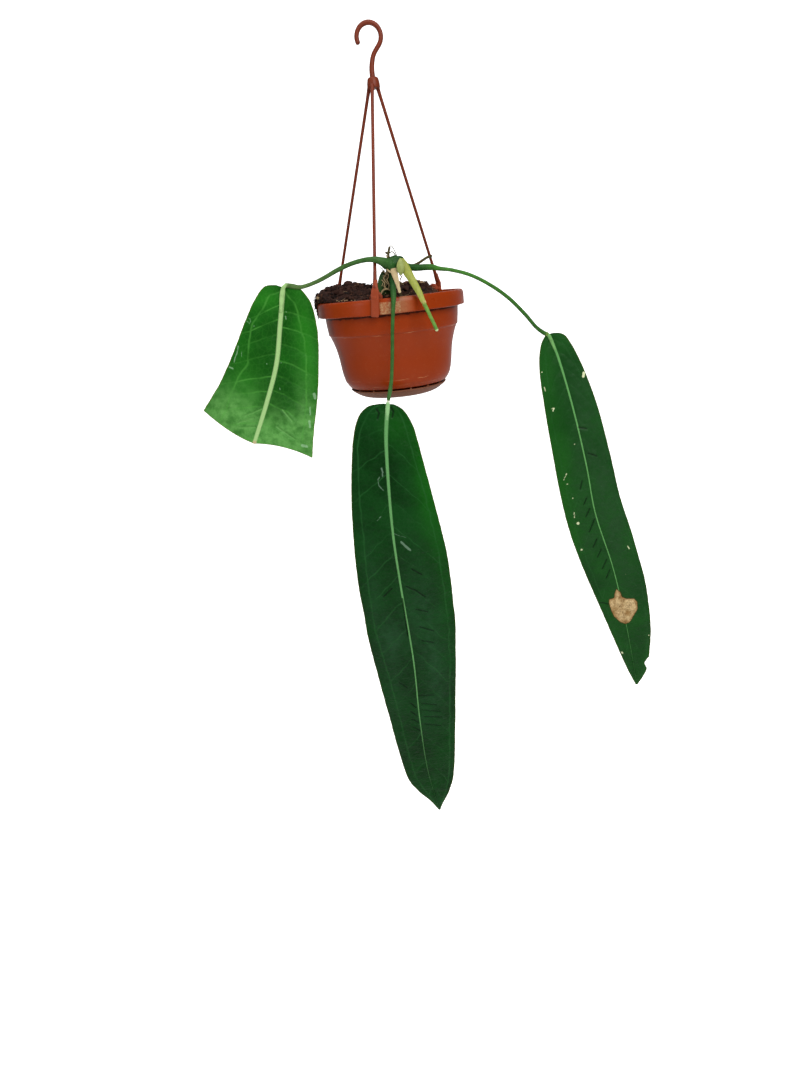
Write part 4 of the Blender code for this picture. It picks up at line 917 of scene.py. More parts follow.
PALE_ROOTS = [[(-9.9, -66, 1.2, 0.6), (-8.8, -66, 5.3, 0.75), (-6.2, -66, 7.4, 0.85), (-2.8, -66, 7.7, 0.8),
               (-0.2, -65, 5.9, 0.6)],
              [(-4.9, -61, 23.3, 0.4), (-3.0, -61.5, 20.6, 0.45), (-5.5, -62, 18.0, 0.5),
               (-4.3, -62.5, 15.0, 0.5), (-2.0, -63, 11.9, 0.45)],
              [(-1.9, -61, 22.5, 0.4), (-0.8, -62, 18.5, 0.45), (-2.6, -63, 15.8, 0.45),
               (-1.0, -64, 11.8, 0.5), (-1.9, -64, 8.0, 0.4)],
              [(-7.4, -62, 16.2, 0.4), (-5.0, -63, 13.1, 0.45), (-5.8, -63.5, 10.3, 0.5),
               (-3.5, -64, 8.1, 0.4)],
              [(-9.4, -61, 26.1, 0.25), (-8.0, -61, 27.2, 0.25), (-6.4, -61, 26.4, 0.3),
               (-5.6, -61, 23.9, 0.3), (-7.4, -61, 22.6, 0.3)],
              [(-6.3, -61, 25.9, 0.2), (-4.9, -61, 26.8, 0.2), (-4.0, -61, 25.0, 0.2),
               (-4.9, -61, 23.6, 0.2)],
              [(9.3, -66, 19.4, 0.35), (11.2, -66, 17.3, 0.35), (9.4, -66, 15.1, 0.3)],
              [(12.7, -66, 18.2, 0.3), (11.0, -66, 16.4, 0.3), (9.0, -66, 12.6, 0.3)]]

# Cut sheath, still fresh: pale green where it clasps, olive along the strip, tan at its end.
fresh_sheath, sheath_shader = new_finish("leaf sheath, cut and fading", {
    "Roughness": 0.5, "IOR": 1.45, "Specular IOR Level": 0.35})
at = add_node(fresh_sheath, "TexCoord", {}, {}).outputs["Object"]
run = add_node(fresh_sheath, "Attribute", {"attribute_name": "run"}, {}).outputs["Fac"]
sheath_tone = linear("#929C58")
for low, high, colour in ((0.0, 0.04, "#8E9438"), (0.3, 0.75, "#9AA044"), (0.84, 0.95, "#B8A468")):
    amount = add_node(fresh_sheath, "MapRange", SMOOTH, {
        "Value": run, "From Min": low, "From Max": high})
    sheath_tone = add_node(fresh_sheath, "Mix", RGBA, {
        0: amount.outputs[0], 6: sheath_tone, 7: linear(colour)}).outputs[2]
along = add_node(fresh_sheath, "Mapping", {},
                 {"Vector": at, "Rotation": (0.0, 0.45, 0.0), "Scale": (1.0, 1.0, 0.12)})
nerves = add_node(fresh_sheath, "TexNoise", {},
                  {"Vector": along.outputs[0], "Scale": 1000 / 1.3, "Detail": 4.0})
nerve_amount = add_node(fresh_sheath, "MapRange", {}, {
    "Value": nerves.outputs["Fac"], "From Min": 0.4, "From Max": 0.65, "To Max": 0.5})
sheath_colour = add_node(fresh_sheath, "Mix", RGBA, {
    0: nerve_amount.outputs[0], 6: sheath_tone, 7: linear("#6E7A30")})
sheath_bump = add_node(fresh_sheath, "Bump", {},
                       {"Height": nerves.outputs["Fac"], "Strength": 0.4, "Distance": 0.0004})
feed(fresh_sheath, sheath_shader, {"Base Color": sheath_colour.outputs[2], "Normal": sheath_bump.outputs[0]})
stub_skin = stalk_skin("leaf stalk, cut", "#8E9A4C", "#6A9040", "#5C8A3A", "#B9C894")

clasp = tube(CLASP, 40, 32, flat=0.5, ends=5)
clasp[2]["run"] = [0.0] * len(clasp[0])
strip = tube(CUT_SHEATH, 80, 32, flat=0.5, skin=lambda s, a: 0.12 * math.cos(7 * a))
strip[2]["run"] = [0.06 + 0.94 * run for run in strip[2]["run"]]
piece("cut_sheath", together([clasp, strip]), [fresh_sheath], ("cut_sheath",))
piece("cut_petiole", tube(CUT_PETIOLE, 50, 20, skin=ribbed), [stub_skin], ("cut_petiole",))
ragged_sheath = tube(DRY_SHEATH, 60, 28, flat=0.25, skin=lambda s,
                     a: 0.35 * noise.noise(Vector((s * 8, 2 * math.cos(a), 2 * math.sin(a)))))
piece("dry_sheath", together([ragged_sheath, tube(DRY_FRINGE, 20, 10, flat=0.4)]), [dry_paper],
      ("dry_sheath",))
piece("dry_hairs", together([tube(hair, 12, 6, ends=1) for hair in DRY_HAIRS]), [withered])
piece("aerial_root", tube(AERIAL_ROOT, 60, 14, skin=lambda s,
                          a: 0.2 * noise.noise(Vector((s * 20, math.cos(a), math.sin(a))))),
      [withered], ("aerial_root",))
piece("pale_roots", together([tube(route, 30, 8, ends=2) for route in PALE_ROOTS]), [root_skin])
stub_bodies = [tube(DRY_STUB, 30, 14, skin=lambda s,
                    a: 0.2 * noise.noise(Vector((s * 9, math.cos(a), math.sin(a)))))]
stub_bodies += [tube(thread, 30, 8) for thread in DRY_THREADS]
stub_bodies.append(tube([(-1.3, -64, 39.6, 0.7), (-0.4, -64, 39.2, 1.1), (0.7, -64, 38.3, 0.8)], 16, 12))
piece("dry_stub", together(stub_bodies), [withered], ("dry_stub",))
piece("sheath_fluff", tube([(-0.9, -63.6, 37.2, 0.5), (0.0, -63.6, 35.8, 0.9), (1.2, -63.4, 34.6, 1.0)], 16,
                           12,
                           skin=lambda s, a: 0.3 * noise.noise(Vector((s * 6, 3 * math.cos(a),
                                                                       3 * math.sin(a))))),
      [dry_paper])
scale_skin = stalk_skin("scale leaf, living", "#1C3818", "#24421C", "#2A4620", "#2E4A24")
piece("scale_leaf", tube(SCALE_LEAF, 40, 20, flat=0.4), [scale_skin])

# The leaf bases: each stalk's knee runs on into its midrib as a short swollen collar, paler
# than the stalk. The centre's near-white knee tone is a painted highlight.
for name, knee, rib_tone, collar in (
        ("left", "#4E6E34", "#98BC7A",
         [(-93, -44.6, 19.6, 1.7), (-98, -45, 20.8, 1.7), (-101.6, -45.2, 19.2, 1.9),
                                       (-103.6, -45.1, 14.5, 2.5), (-105.6, -45, 7, 2.4),
                                       (-108, -44.9, -3, 1.6)]),
        ("centre", "#C8CEB4", "#86B47A",
         [(-13.3, -79, -93.6, 1.3), (-14, -80, -97, 1.9), (-15, -80.6, -102, 2.2), (-16.6, -81, -112, 1.5)]),
        ("right", "#66803A", "#6CA05C",
         [(149.5, -39.6, -49.8, 1.9), (152.8, -40.2, -51.6, 1.8), (155.6, -40.8, -56.5, 1.8),
                                       (159.5, -41.5, -67, 1.2)])):
    skin = stalk_skin("leaf base, living, " + name, knee, rib_tone, rib_tone, rib_tone)
    piece("leaf_base_" + name, tube(collar, 50, 20, flat=0.7, ends=4), [skin])


# THE LEAVES: long leathery blades, a little folded along a stout midrib, with side veins that
# run out to a loop vein inside the margin. Upper faces are waxed; undersides are pale and dull.
# Each leaf lists its patches of painted sheen and of painted light, its scuff marks, and its creases, which the
# upper face shades with paint.
CENTRE_LEAF = {
    "midrib": [(-14, -97), (-20, -137), (-23, -217), (-21, -284), (-16, -373), (-16, -451), (-13, -527),
               (-4, -591)],
    "left": [(-22, -96), (-35, -98), (-46, -110), (-54, -138), (-62, -197), (-65.5, -270), (-63.5, -316),
             (-61.7, -352), (-51, -441), (-39.5, -528), (-28, -556), (-13.5, -576), (-5, -591)],
    "right": [(-8, -98), (1, -105), (9, -123), (15, -156), (24.3, -212), (30.6, -254), (32.6, -284),
              (33.4, -312), (33.5, -347), (27, -432), (18.5, -530), (11, -560), (1, -582), (-3, -592)],
    "forward": lambda along, off: 80.0 + 12.0 * np.sin(np.pi * along) + 0.05 * off - 0.003 * off * off,
    "rib": (4.8, 0.7), "lead": 1.22, "waves": 0.7, "bow": {"left": 0.0, "right": 0.0}, "cut": False,
    "side_veins": {"left": ([0.03, 0.08, 0.14, 0.2, 0.27, 0.33, 0.38, 0.43, 0.49, 0.55, 0.62, 0.68, 0.74, 0.8,
                             0.87, 0.94], 0.02),
                   "right": ([0.02, 0.07, 0.12, 0.2, 0.26, 0.32, 0.38, 0.44, 0.5, 0.55, 0.6, 0.66, 0.73, 0.8,
                              0.87, 0.94], 0.055)},
    "loop": {"left": [(0.0, 0.6), (0.1, 0.84), (0.3, 0.73), (0.5, 0.79), (0.7, 0.68), (1.0, 0.6)],
             "right": [(0.0, 0.6), (0.2, 0.81), (0.6, 0.86), (1.0, 0.8)]}, "pucker": 0.6,
    "haze": [(-2, -325, 20, 60, 0.7), (-40, -395, 13, 60, 0.5), (-6, -445, 16, 30, 0.5),
             (-50, -290, 9, 60, 0.5),
             (8, -395, 12, 40, 0.7), (-36, -345, 12, 25, 0.7)],
    "fresh": [(17, -165, 13, 75, 1.0), (-8, -118, 15, 22, 0.5), (26, -270, 9, 60, 0.4)],
    "marks": [([(-27.1, -159), (-26.5, -162.8), (-27.1, -167)], 0.7),
              ([(-29.5, -167), (-32, -170), (-31.9, -176), (-27.4, -182.2)], 0.35),
              ([(-15.7, -237.4), (-11, -243), (-7.3, -247.1)], 1.1), ([(-22, -228), (-10, -233.5)], 0.3),
              ([(-38, -213), (-33, -208)], 0.3)],
    "creases": [[(-25.5, -101), (-23.6, -105), (-25.5, -110)], [(-11.5, -101), (-9.5, -105), (-11, -110)],
                [(-15.5, -287.1), (-5.5, -292.9), (3.7, -302)], [(-7.8, -314.3), (5.3, -319.4)],
                [(-20.5, -300), (-19.0, -345)], [(-34, -402), (-26, -409)], [(-8, -268), (2, -276)],
                [(-30, -287), (-40, -296)], [(-6, -335), (9, -343)], [(-5, -352), (8, -357)],
                [(-12, -432), (4, -436)], [(-12, -441), (8, -446)], [(-11, -450), (9, -454)],
                [(-11, -460), (7, -466)],
                [(-24, -430), (-19, -437)], [(-25, -441), (-19, -448)], [(-25, -452), (-18, -457)],
                [(-24, -463), (-17, -469)], [(-14, -421), (2, -423)]],
}
LEFT_LEAF = {
    "midrib": [(-102, 19), (-105, 8), (-111, -16), (-120, -52), (-135, -88), (-153, -126)],
    "left": [(-109, 22), (-120.5, 21.5), (-132.2, 10), (-146, -11), (-160, -35), (-179, -64), (-200, -89)],
    "right": [(-96, 22), (-87, 17), (-78, 3), (-75, -20), (-77, -48), (-83, -85), (-91, -119), (-97, -148)],
    "forward": lambda along, off: 44.0 + 16.0 * along * along + 0.06 * off - 0.002 * off * off,
    "rib": (5.4, 4.6), "lead": 1.05, "waves": 0.5, "bow": {"left": -3.0, "right": 4.4}, "cut": True,
    "side_veins": {"left": ([-0.12, 0.0, 0.113, 0.21, 0.304, 0.425, 0.57, 0.665, 0.765, 0.87, 0.97], 0.22),
                   "right": ([-0.1, 0.05, 0.16, 0.255, 0.36, 0.46, 0.555, 0.65, 0.735, 0.868, 0.98], 0.1)},
    "loop": {"left": [(0.0, 0.0), (0.035, 0.18), (0.106, 0.59), (0.215, 0.65), (0.32, 0.79), (0.425, 0.76),
                      (0.524, 0.67), (0.567, 0.63), (0.685, 0.71), (0.795, 0.72), (0.878, 0.69), (1.0, 0.68)],
             "right": [(0.0, 0.0), (0.053, 0.21), (0.129, 0.47), (0.218, 0.53), (0.317, 0.61), (0.407, 0.68),
                       (0.535, 0.72), (0.619, 0.74), (0.708, 0.79), (1.0, 0.8)]}, "pucker": 0.14,
    "haze": [(-175, -92, 30, 22, 1.0), (-140, -128, 45, 20, 0.95), (-100, -140, 26, 26, 1.0),
             (-95, -100, 9, 34, 0.5),
             (-128, -108, 30, 14, 0.35)],
    "fresh": [(-87, -40, 9, 60, 0.55), (-150, -60, 18, 30, 0.3), (-122, 10, 22, 8, 0.5)],
    "marks": [([(-141.5, -5), (-139.2, -6), (-138.6, -9), (-140.5, -10.5), (-142, -8.6)], 0.3),
              ([(-154.4, -30.5), (-157, -37), (-159.5, -41), (-161.3, -45.2)], 0.45),
              ([(-166.5, -49.8), (-163.5, -51.4)], 0.8), ([(-152, -36), (-153, -41)], 0.25),
              ([(-136.1, -13.4)], 0.5), ([(-129, -50.3)], 0.6), ([(-115.1, -50.8)], 0.5),
              ([(-103.1, -3.6)], 0.5),
              ([(-104.1, -10.1), (-104.3, -7.5)], 0.45), ([(-86.2, -88.1), (-86.6, -84)], 1.3),
              ([(-92.3, -96.2), (-93, -104)], 0.5), ([(-94.9, -115.8), (-94.6, -110)], 1.0),
              ([(-105.4, -133.2), (-101, -135)], 1.4), ([(-76.5, 0), (-76, -4)], 0.6),
              ([(-120, -74), (-119.5, -76)], 0.3)],
    "creases": [[(-158, -98), (-140, -93)], [(-166, -104), (-150, -101)], [(-150, -110), (-166, -109)],
                [(-120, -96), (-112, -108)], [(-128, -112), (-112, -126)]],
}
RIGHT_LEAF = {
    "midrib": [(154, -51.5), (163, -77), (176, -129), (188, -189), (197, -244), (217, -312), (234, -389),
               (249, -471)],
    "left": [(150, -52.5), (144.5, -64), (143, -92), (148, -136), (155, -186), (164, -240), (177.3, -290),
             (198.8, -349), (220, -405), (236, -446), (248, -472)],
    "right": [(159, -50.5), (170.5, -54.5), (184, -79), (198, -116), (211, -165), (224.4, -226),
              (242.3, -285),
              (257, -345), (263, -402), (260, -448), (250, -472)],
    "forward": lambda along, off: 40.0 + 10.0 * np.sin(np.pi * along) + 0.10 * off - 0.004 * off * off,
    "rib": (3.4, 0.9), "lead": 1.22, "waves": 0.6, "bow": {"left": 0.0, "right": 0.0}, "cut": False,
    "side_veins": {"left": ([0.03 + 0.05 * k for k in range(19)], 0.04),
                   "right": ([0.02 + 0.05 * k for k in range(19)], 0.06)},
    "loop": {"left": [(0.0, 0.5), (0.2, 0.78), (1.0, 0.78)], "right": [(0.0, 0.5), (0.2, 0.84), (1.0, 0.84)]},
    "pucker": 0.4,
    "haze": [(188, -130, 14, 55, 0.9), (206, -205, 14, 60, 1.0), (222, -270, 14, 45, 0.9),
             (232, -325, 14, 25, 0.5),
             (180, -215, 8, 45, 0.6), (190, -275, 8, 30, 0.6), (170, -100, 10, 30, 0.5)],
    "fresh": [(161, -215, 12, 70, 1.0), (172, -275, 12, 30, 1.0), (150, -110, 8, 60, 0.6),
              (240, -290, 9, 25, 0.5),
              (215, -395, 14, 30, 0.6)],
    "marks": [([(153.4, -125.6), (156, -125.4), (154.9, -128.2)], 0.55), ([(176, -165.1)], 0.7),
              ([(167.6, -207.6)], 0.7),
              ([(172.9, -223.6)], 0.6), ([(145.3, -87.9)], 0.6), ([(178, -252.9)], 1.6),
              ([(181.7, -284.6)], 1.1),
              ([(260.5, -403.2)], 0.8), ([(231.1, -319.7)], 0.5), ([(188.2, -93), (187.4, -96.5)], 1.3),
              ([(229, -422), (230, -423.5)], 0.8), ([(167, -196), (164, -203)], 0.35),
              ([(174, -240), (174.4, -246)], 0.35),
              ([(147, -103), (147.6, -107)], 0.4), ([(233, -286), (235, -290)], 0.5)],
    "creases": [[(202.3, -352.8), (207, -353.4), (211.9, -355.3)], [(190.7, -237.1), (186.5, -246.2)],
                [(198.4, -273), (194.3, -282.5)], [(209.3, -298.9), (204.5, -310)],
                [(187.5, -225), (184.5, -232)],
                [(193.5, -256), (190, -264)], [(203, -286), (199, -295)], [(213, -312), (209, -322)],
                [(189, -150), (181, -148)],
                [(199, -180), (190, -176)], [(196, -250), (193.4, -256)], [(183, -205), (181, -214)]],
    "bites": [(266.3, -441.5, 9.0), (193.8, -95.5, 2.2)],
    "spot": [(220.8, -337.7), (225, -341.6), (227.1, -348.1), (232, -350.8), (240.9, -351.8), (244.6, -356.2),
             (245.3, -365.8), (240.3, -374.8), (236.4, -382.4), (232.4, -383.7), (226.5, -380.3),
             (219.1, -372.2),
             (215.5, -363.7), (212.6, -353.8), (212.9, -349.2), (218.7, -348.5), (219.4, -342.3)],
}
RIB_RELIEF = 0.75
LEAF_THICKNESS = 0.8


def flat_curve(points, shares):
    """Points at shares of the length of a smooth curve through flat points."""
    dense = np.array(through(points, 24 * len(points)))
    lengths = np.concatenate([[0.0], np.cumsum(np.hypot(*(dense[1:] - dense[:-1]).T))])
    goals = shares * lengths[-1]
    return np.stack([np.interp(goals, lengths, dense[:, 0]), np.interp(goals, lengths, dense[:, 1])],
                    1), lengths[-1]


def noise_at(points, scale, seed=0.0):
    return np.array([noise.noise(Vector((x / scale, z / scale, seed))) for x,
                     z in points.reshape(-1, 2)]).reshape(points.shape[:-1])


def distance_to_path(path, grid):
    """Distance in millimetres from each grid point to an open path of flat points."""
    corners = np.array(path, float)
    if len(corners) == 1:
        return np.linalg.norm(grid - corners[0], axis=-1)
    best = np.full(grid.shape[:-1], 1e9)
    for a, b in zip(corners, corners[1:]):
        line = b - a
        t = np.clip(((grid - a) @ line) / (line @ line), 0.0, 1.0)
        best = np.minimum(best, np.linalg.norm(grid - a - t[..., None] * line, axis=-1))
    return best


def distance_to(outline, grid):
    """Signed distance in millimetres to a closed outline, less than nothing inside."""
    corners = np.array(outline)
    inside = np.zeros(grid.shape[:-1], bool)
    for a, b in zip(corners, np.roll(corners, -1, 0)):
        crosses = (a[1] > grid[..., 1]) != (b[1] > grid[..., 1])
        inside ^= crosses & (grid[..., 0] < (b - a)[0] * (grid[..., 1] - a[1]) / ((b - a)[1] or 1e-9) + a[0])
    best = distance_to_path(outline + outline[:1], grid)
    return np.where(inside, -best, best)


def clouds(spots, grid):
    """Soft patches, each (x, z, reach across, reach down, amount), as one field from 0 to 1."""
    out = np.zeros(grid.shape[:-1])
    for x, z, across, down, amount in spots:
        out += amount * np.exp(-((grid[..., 0] - x) / across) ** 2 - ((grid[..., 1] - z) / down) ** 2)
    return np.clip(out, 0.0, 1.0)


def leaf_grid(leaf, rows, cells):
    """The leaf's upper face as a grid of (x, y, z), with a field for each of its markings."""
    shares = np.linspace(0.0, 1.0, rows + 1)
    rib_at, length = flat_curve(leaf["midrib"], shares ** leaf["lead"])
    flat, fields = [], {key: [] for key in ("across", "ribwide", "phase", "gap", "loop", "margin", "along")}
    for side, sign in (("left", -1.0), ("right", 1.0)):
        edge_at, _ = flat_curve(leaf[side], shares)
        to_edge = edge_at - rib_at
        width = np.hypot(*to_edge.T)
        reach = np.ones(rows + 1)
        for bx, bz, br in leaf.get("bites", ()):
            if side == "right":
                wobble = 0.35 * np.sin(shares * length * 0.9) + 0.25 * np.sin(shares * length * 0.43)
                rel = rib_at - np.array([bx, bz])
                a = (to_edge ** 2).sum(1)
                b = 2 * (rel * to_edge).sum(1)
                c = (rel ** 2).sum(1) - (br + wobble) ** 2
                inside = b * b - 4 * a * c
                entry = np.where(inside > 0, (-b - np.sqrt(np.maximum(inside, 0))) / (2 * a), 2.0)
                reach = np.minimum(reach, np.where(entry > 0.2, entry, 1.0))
        half = np.minimum(0.5 * (leaf["rib"][0] + (leaf["rib"][1] - leaf["rib"][0]) * shares), 0.18 * width)
        steps = np.concatenate([np.array([0.25, 0.5, 0.75, 1.0, 1.35])[None, :] * half[:, None],
                                1.35 * half[:, None] + (width * reach - 1.35 * half)[:, None]
                                * (np.arange(1, cells + 1) / cells)[None, :]], 1)
        part = steps / width[:, None]
        side_flat = rib_at[:, None, :] + to_edge[:, None, :] * part[:, :, None]
        rag = 0.28 * noise_at(edge_at, 7.0, sign) + 0.15 * noise_at(edge_at, 2.2, sign)
        outward = to_edge / width[:, None]
        side_flat += (part ** 8)[:, :, None] * np.minimum(1.0, width / 12.0)[:, None, None] * rag[:, None,
                                                                                                  None] * outward[:, None, :]
        side_flat[:, :, 1] += leaf["bow"][side] * shares[:, None] ** 9 * 4.0 * part * (1.0 - part)
        starts, lean = leaf["side_veins"][side]
        starts = np.array(starts)
        veins = starts[None, None, :] + lean * part[:, :, None] ** 1.25
        where = shares[:, None] + 0.006 * noise_at(side_flat, 11.0, 4.0 + sign)
        index = np.clip((veins < where[:, :, None]).sum(2), 1, len(starts) - 1)
        below = np.take_along_axis(veins, index[:, :, None] - 1, 2)[:, :, 0]
        above = np.take_along_axis(veins, index[:, :, None], 2)[:, :, 0]
        phase = index - 1 + (where - below) / (above - below)
        margin = (reach[:, None] - part) * width[:, None]
        if leaf["cut"]:
            margin = np.minimum(margin, ((1.0 - shares) * length)[:, None] + 0.1)
        loop_at = np.interp(shares, *zip(*leaf["loop"][side]))[:, None] + 0.025 * noise_at(side_flat, 9.0,
                                                                                           7.0)
        side_fields = {"across": sign * steps, "ribwide": half[:, None] + 0.0 * steps,
                       "phase": phase + (40 if sign > 0 else 0),
                       "gap": (above - below) * length, "margin": margin,
                       "loop": (part - loop_at) * width[:, None],
                       "along": shares[:, None] + 0.0 * steps}
        order = slice(None, None, -1) if sign < 0 else slice(None)
        flat.append(side_flat[:, order])
        for key, values in side_fields.items():
            fields[key].append(values[:, order])
    middle = {"across": 0.0, "phase": 0.5, "gap": 20.0, "loop": -20.0}
    grid = np.concatenate([flat[0], rib_at[:, None, :], flat[1]], 1)
    out = {}
    for key, (left, right) in fields.items():
        centre = np.full((rows + 1, 1), middle[key]) if key in middle else left[:, -1:]
        out[key] = np.concatenate([left, centre, right], 1)
    # Patches of painted sheen and of painted light, each as a field from 0 to 1.
    out["haze"] = clouds(leaf["haze"], grid)
    out["fresh"] = clouds(leaf["fresh"], grid)
    out["mark"] = np.minimum.reduce([distance_to_path(path, grid) - size for path, size in leaf["marks"]])
    out["crease"] = np.minimum.reduce([distance_to_path(path, grid) for path in leaf["creases"]])
    return grid, out


def leaf_body(leaf, rows, cells):
    """A closed thin leaf: upper face, pale underside with a keeled midrib, and its margin."""
    grid, marks = leaf_grid(leaf, rows, cells)
    base_z, tip_z = leaf["midrib"][0][1], leaf["midrib"][-1][1]
    off = np.abs(marks["across"])
    width = off.max(1)[:, None] + 0.0 * off
    part = off / np.maximum(width, 1e-6)
    along = np.clip((base_z - grid[..., 1]) / (base_z - tip_z), 0.0, 1.0)
    relief = np.minimum(1.0, width / 12.0)
    ahead = leaf["forward"](along, off)
    rise = np.clip((part - 0.35) / 0.3, 0.0, 1.0)
    ahead = ahead + leaf["waves"] * part * rise * np.sin(0.11 * grid[..., 1] + 0.05 * grid[..., 0])
    ribbed_part = np.clip(1.0 - (off / marks["ribwide"]) ** 2, 0.0, 1.0)
    groove = np.exp(-((off - 1.5 * marks["ribwide"]) / (0.8 * marks["ribwide"])) ** 2)
    swing = marks["phase"] - np.floor(marks["phase"])
    vein_mm = np.minimum(swing, 1.0 - swing) * marks["gap"]
    inner = np.clip((marks["margin"] - 2.0) / 8.0, 0.0, 1.0)
    vein = np.exp(-(vein_mm / 1.1) ** 2)
    loop = np.exp(-(marks["loop"] / 1.3) ** 2)
    fold = np.exp(-(marks["crease"] / 1.0) ** 2) - 0.6 * np.exp(-((marks["crease"] - 2.2) / 1.2) ** 2)
    ripple = noise_at(grid, 9.0, 2.0) + 0.6 * noise_at(grid, 4.0, 5.0)
    quilt = np.sin(np.pi * swing) ** 2
    body = (1.0 - ribbed_part) * inner
    ahead = ahead + relief * (RIB_RELIEF * np.sqrt(ribbed_part) * (1.0 - 0.4 * marks["along"]) - 0.25 * groove
                              + body * (0.22 * quilt - 0.18 * vein - 0.15 * loop - 0.7 * fold))
    ahead = ahead + relief * body * leaf["pucker"] * ripple * (0.35 + 0.9 * marks["along"])
    front = np.stack([grid[..., 0], -ahead, grid[..., 1]], -1)
    down, over = np.gradient(front, axis=0), np.gradient(front, axis=1)
    normal = np.cross(down, over)
    normal /= np.maximum(np.linalg.norm(normal, axis=2, keepdims=True), 1e-9)
    normal *= np.where(normal[..., 1:2] < 0.0, -1.0, 1.0)
    slim = 1.0 - np.clip(width / 10.0, 0.0, 1.0)[..., None]
    normal = normal * (1.0 - slim) + np.array([0.0, 1.0, 0.0]) * slim
    normal /= np.linalg.norm(normal, axis=2, keepdims=True)
    thick = LEAF_THICKNESS * (0.45 + 0.55 * np.clip(marks["margin"] / 3.0, 0.0, 1.0))
    keel = 1.1 * np.sqrt(np.clip(1.0 - (off / (1.15 * marks["ribwide"])) ** 2, 0.0, 1.0)) * relief
    back = front + normal * (thick + keel + relief * body * 0.3 * (vein + loop))[..., None]
    cols = grid.shape[1]
    total = (rows + 1) * cols
    points = np.concatenate([front.reshape(-1, 3), back.reshape(-1, 3)])
    index = np.arange(total).reshape(rows + 1, cols)
    quads = np.stack([index[:-1, :-1], index[1:, :-1], index[1:, 1:], index[:-1, 1:]], -1).reshape(-1, 4)
    faces = [tuple(q) for q in quads.tolist()] + [tuple(v + total for v in reversed(q)) for q in quads.tolist()]
    ring = index[0].tolist() + index[1:, -1].tolist() + index[-1, -2::-1].tolist() + index[-2:0:-1,
                                                                                           0].tolist()
    for a, b in zip(ring, ring[1:] + ring[:1]):
        faces.append((a, b, b + total, a + total))
    kinds = [0] * len(quads) + [1] * len(quads) + [0] * len(ring)
    shown = {key: np.tile(values.ravel(), 2) for key, values in marks.items()}
    if "spot" in leaf:
        shown["spot"] = np.tile(distance_to(leaf["spot"], grid).ravel(), 2)
    return [Vector(p) for p in points.tolist()], faces, shown, kinds


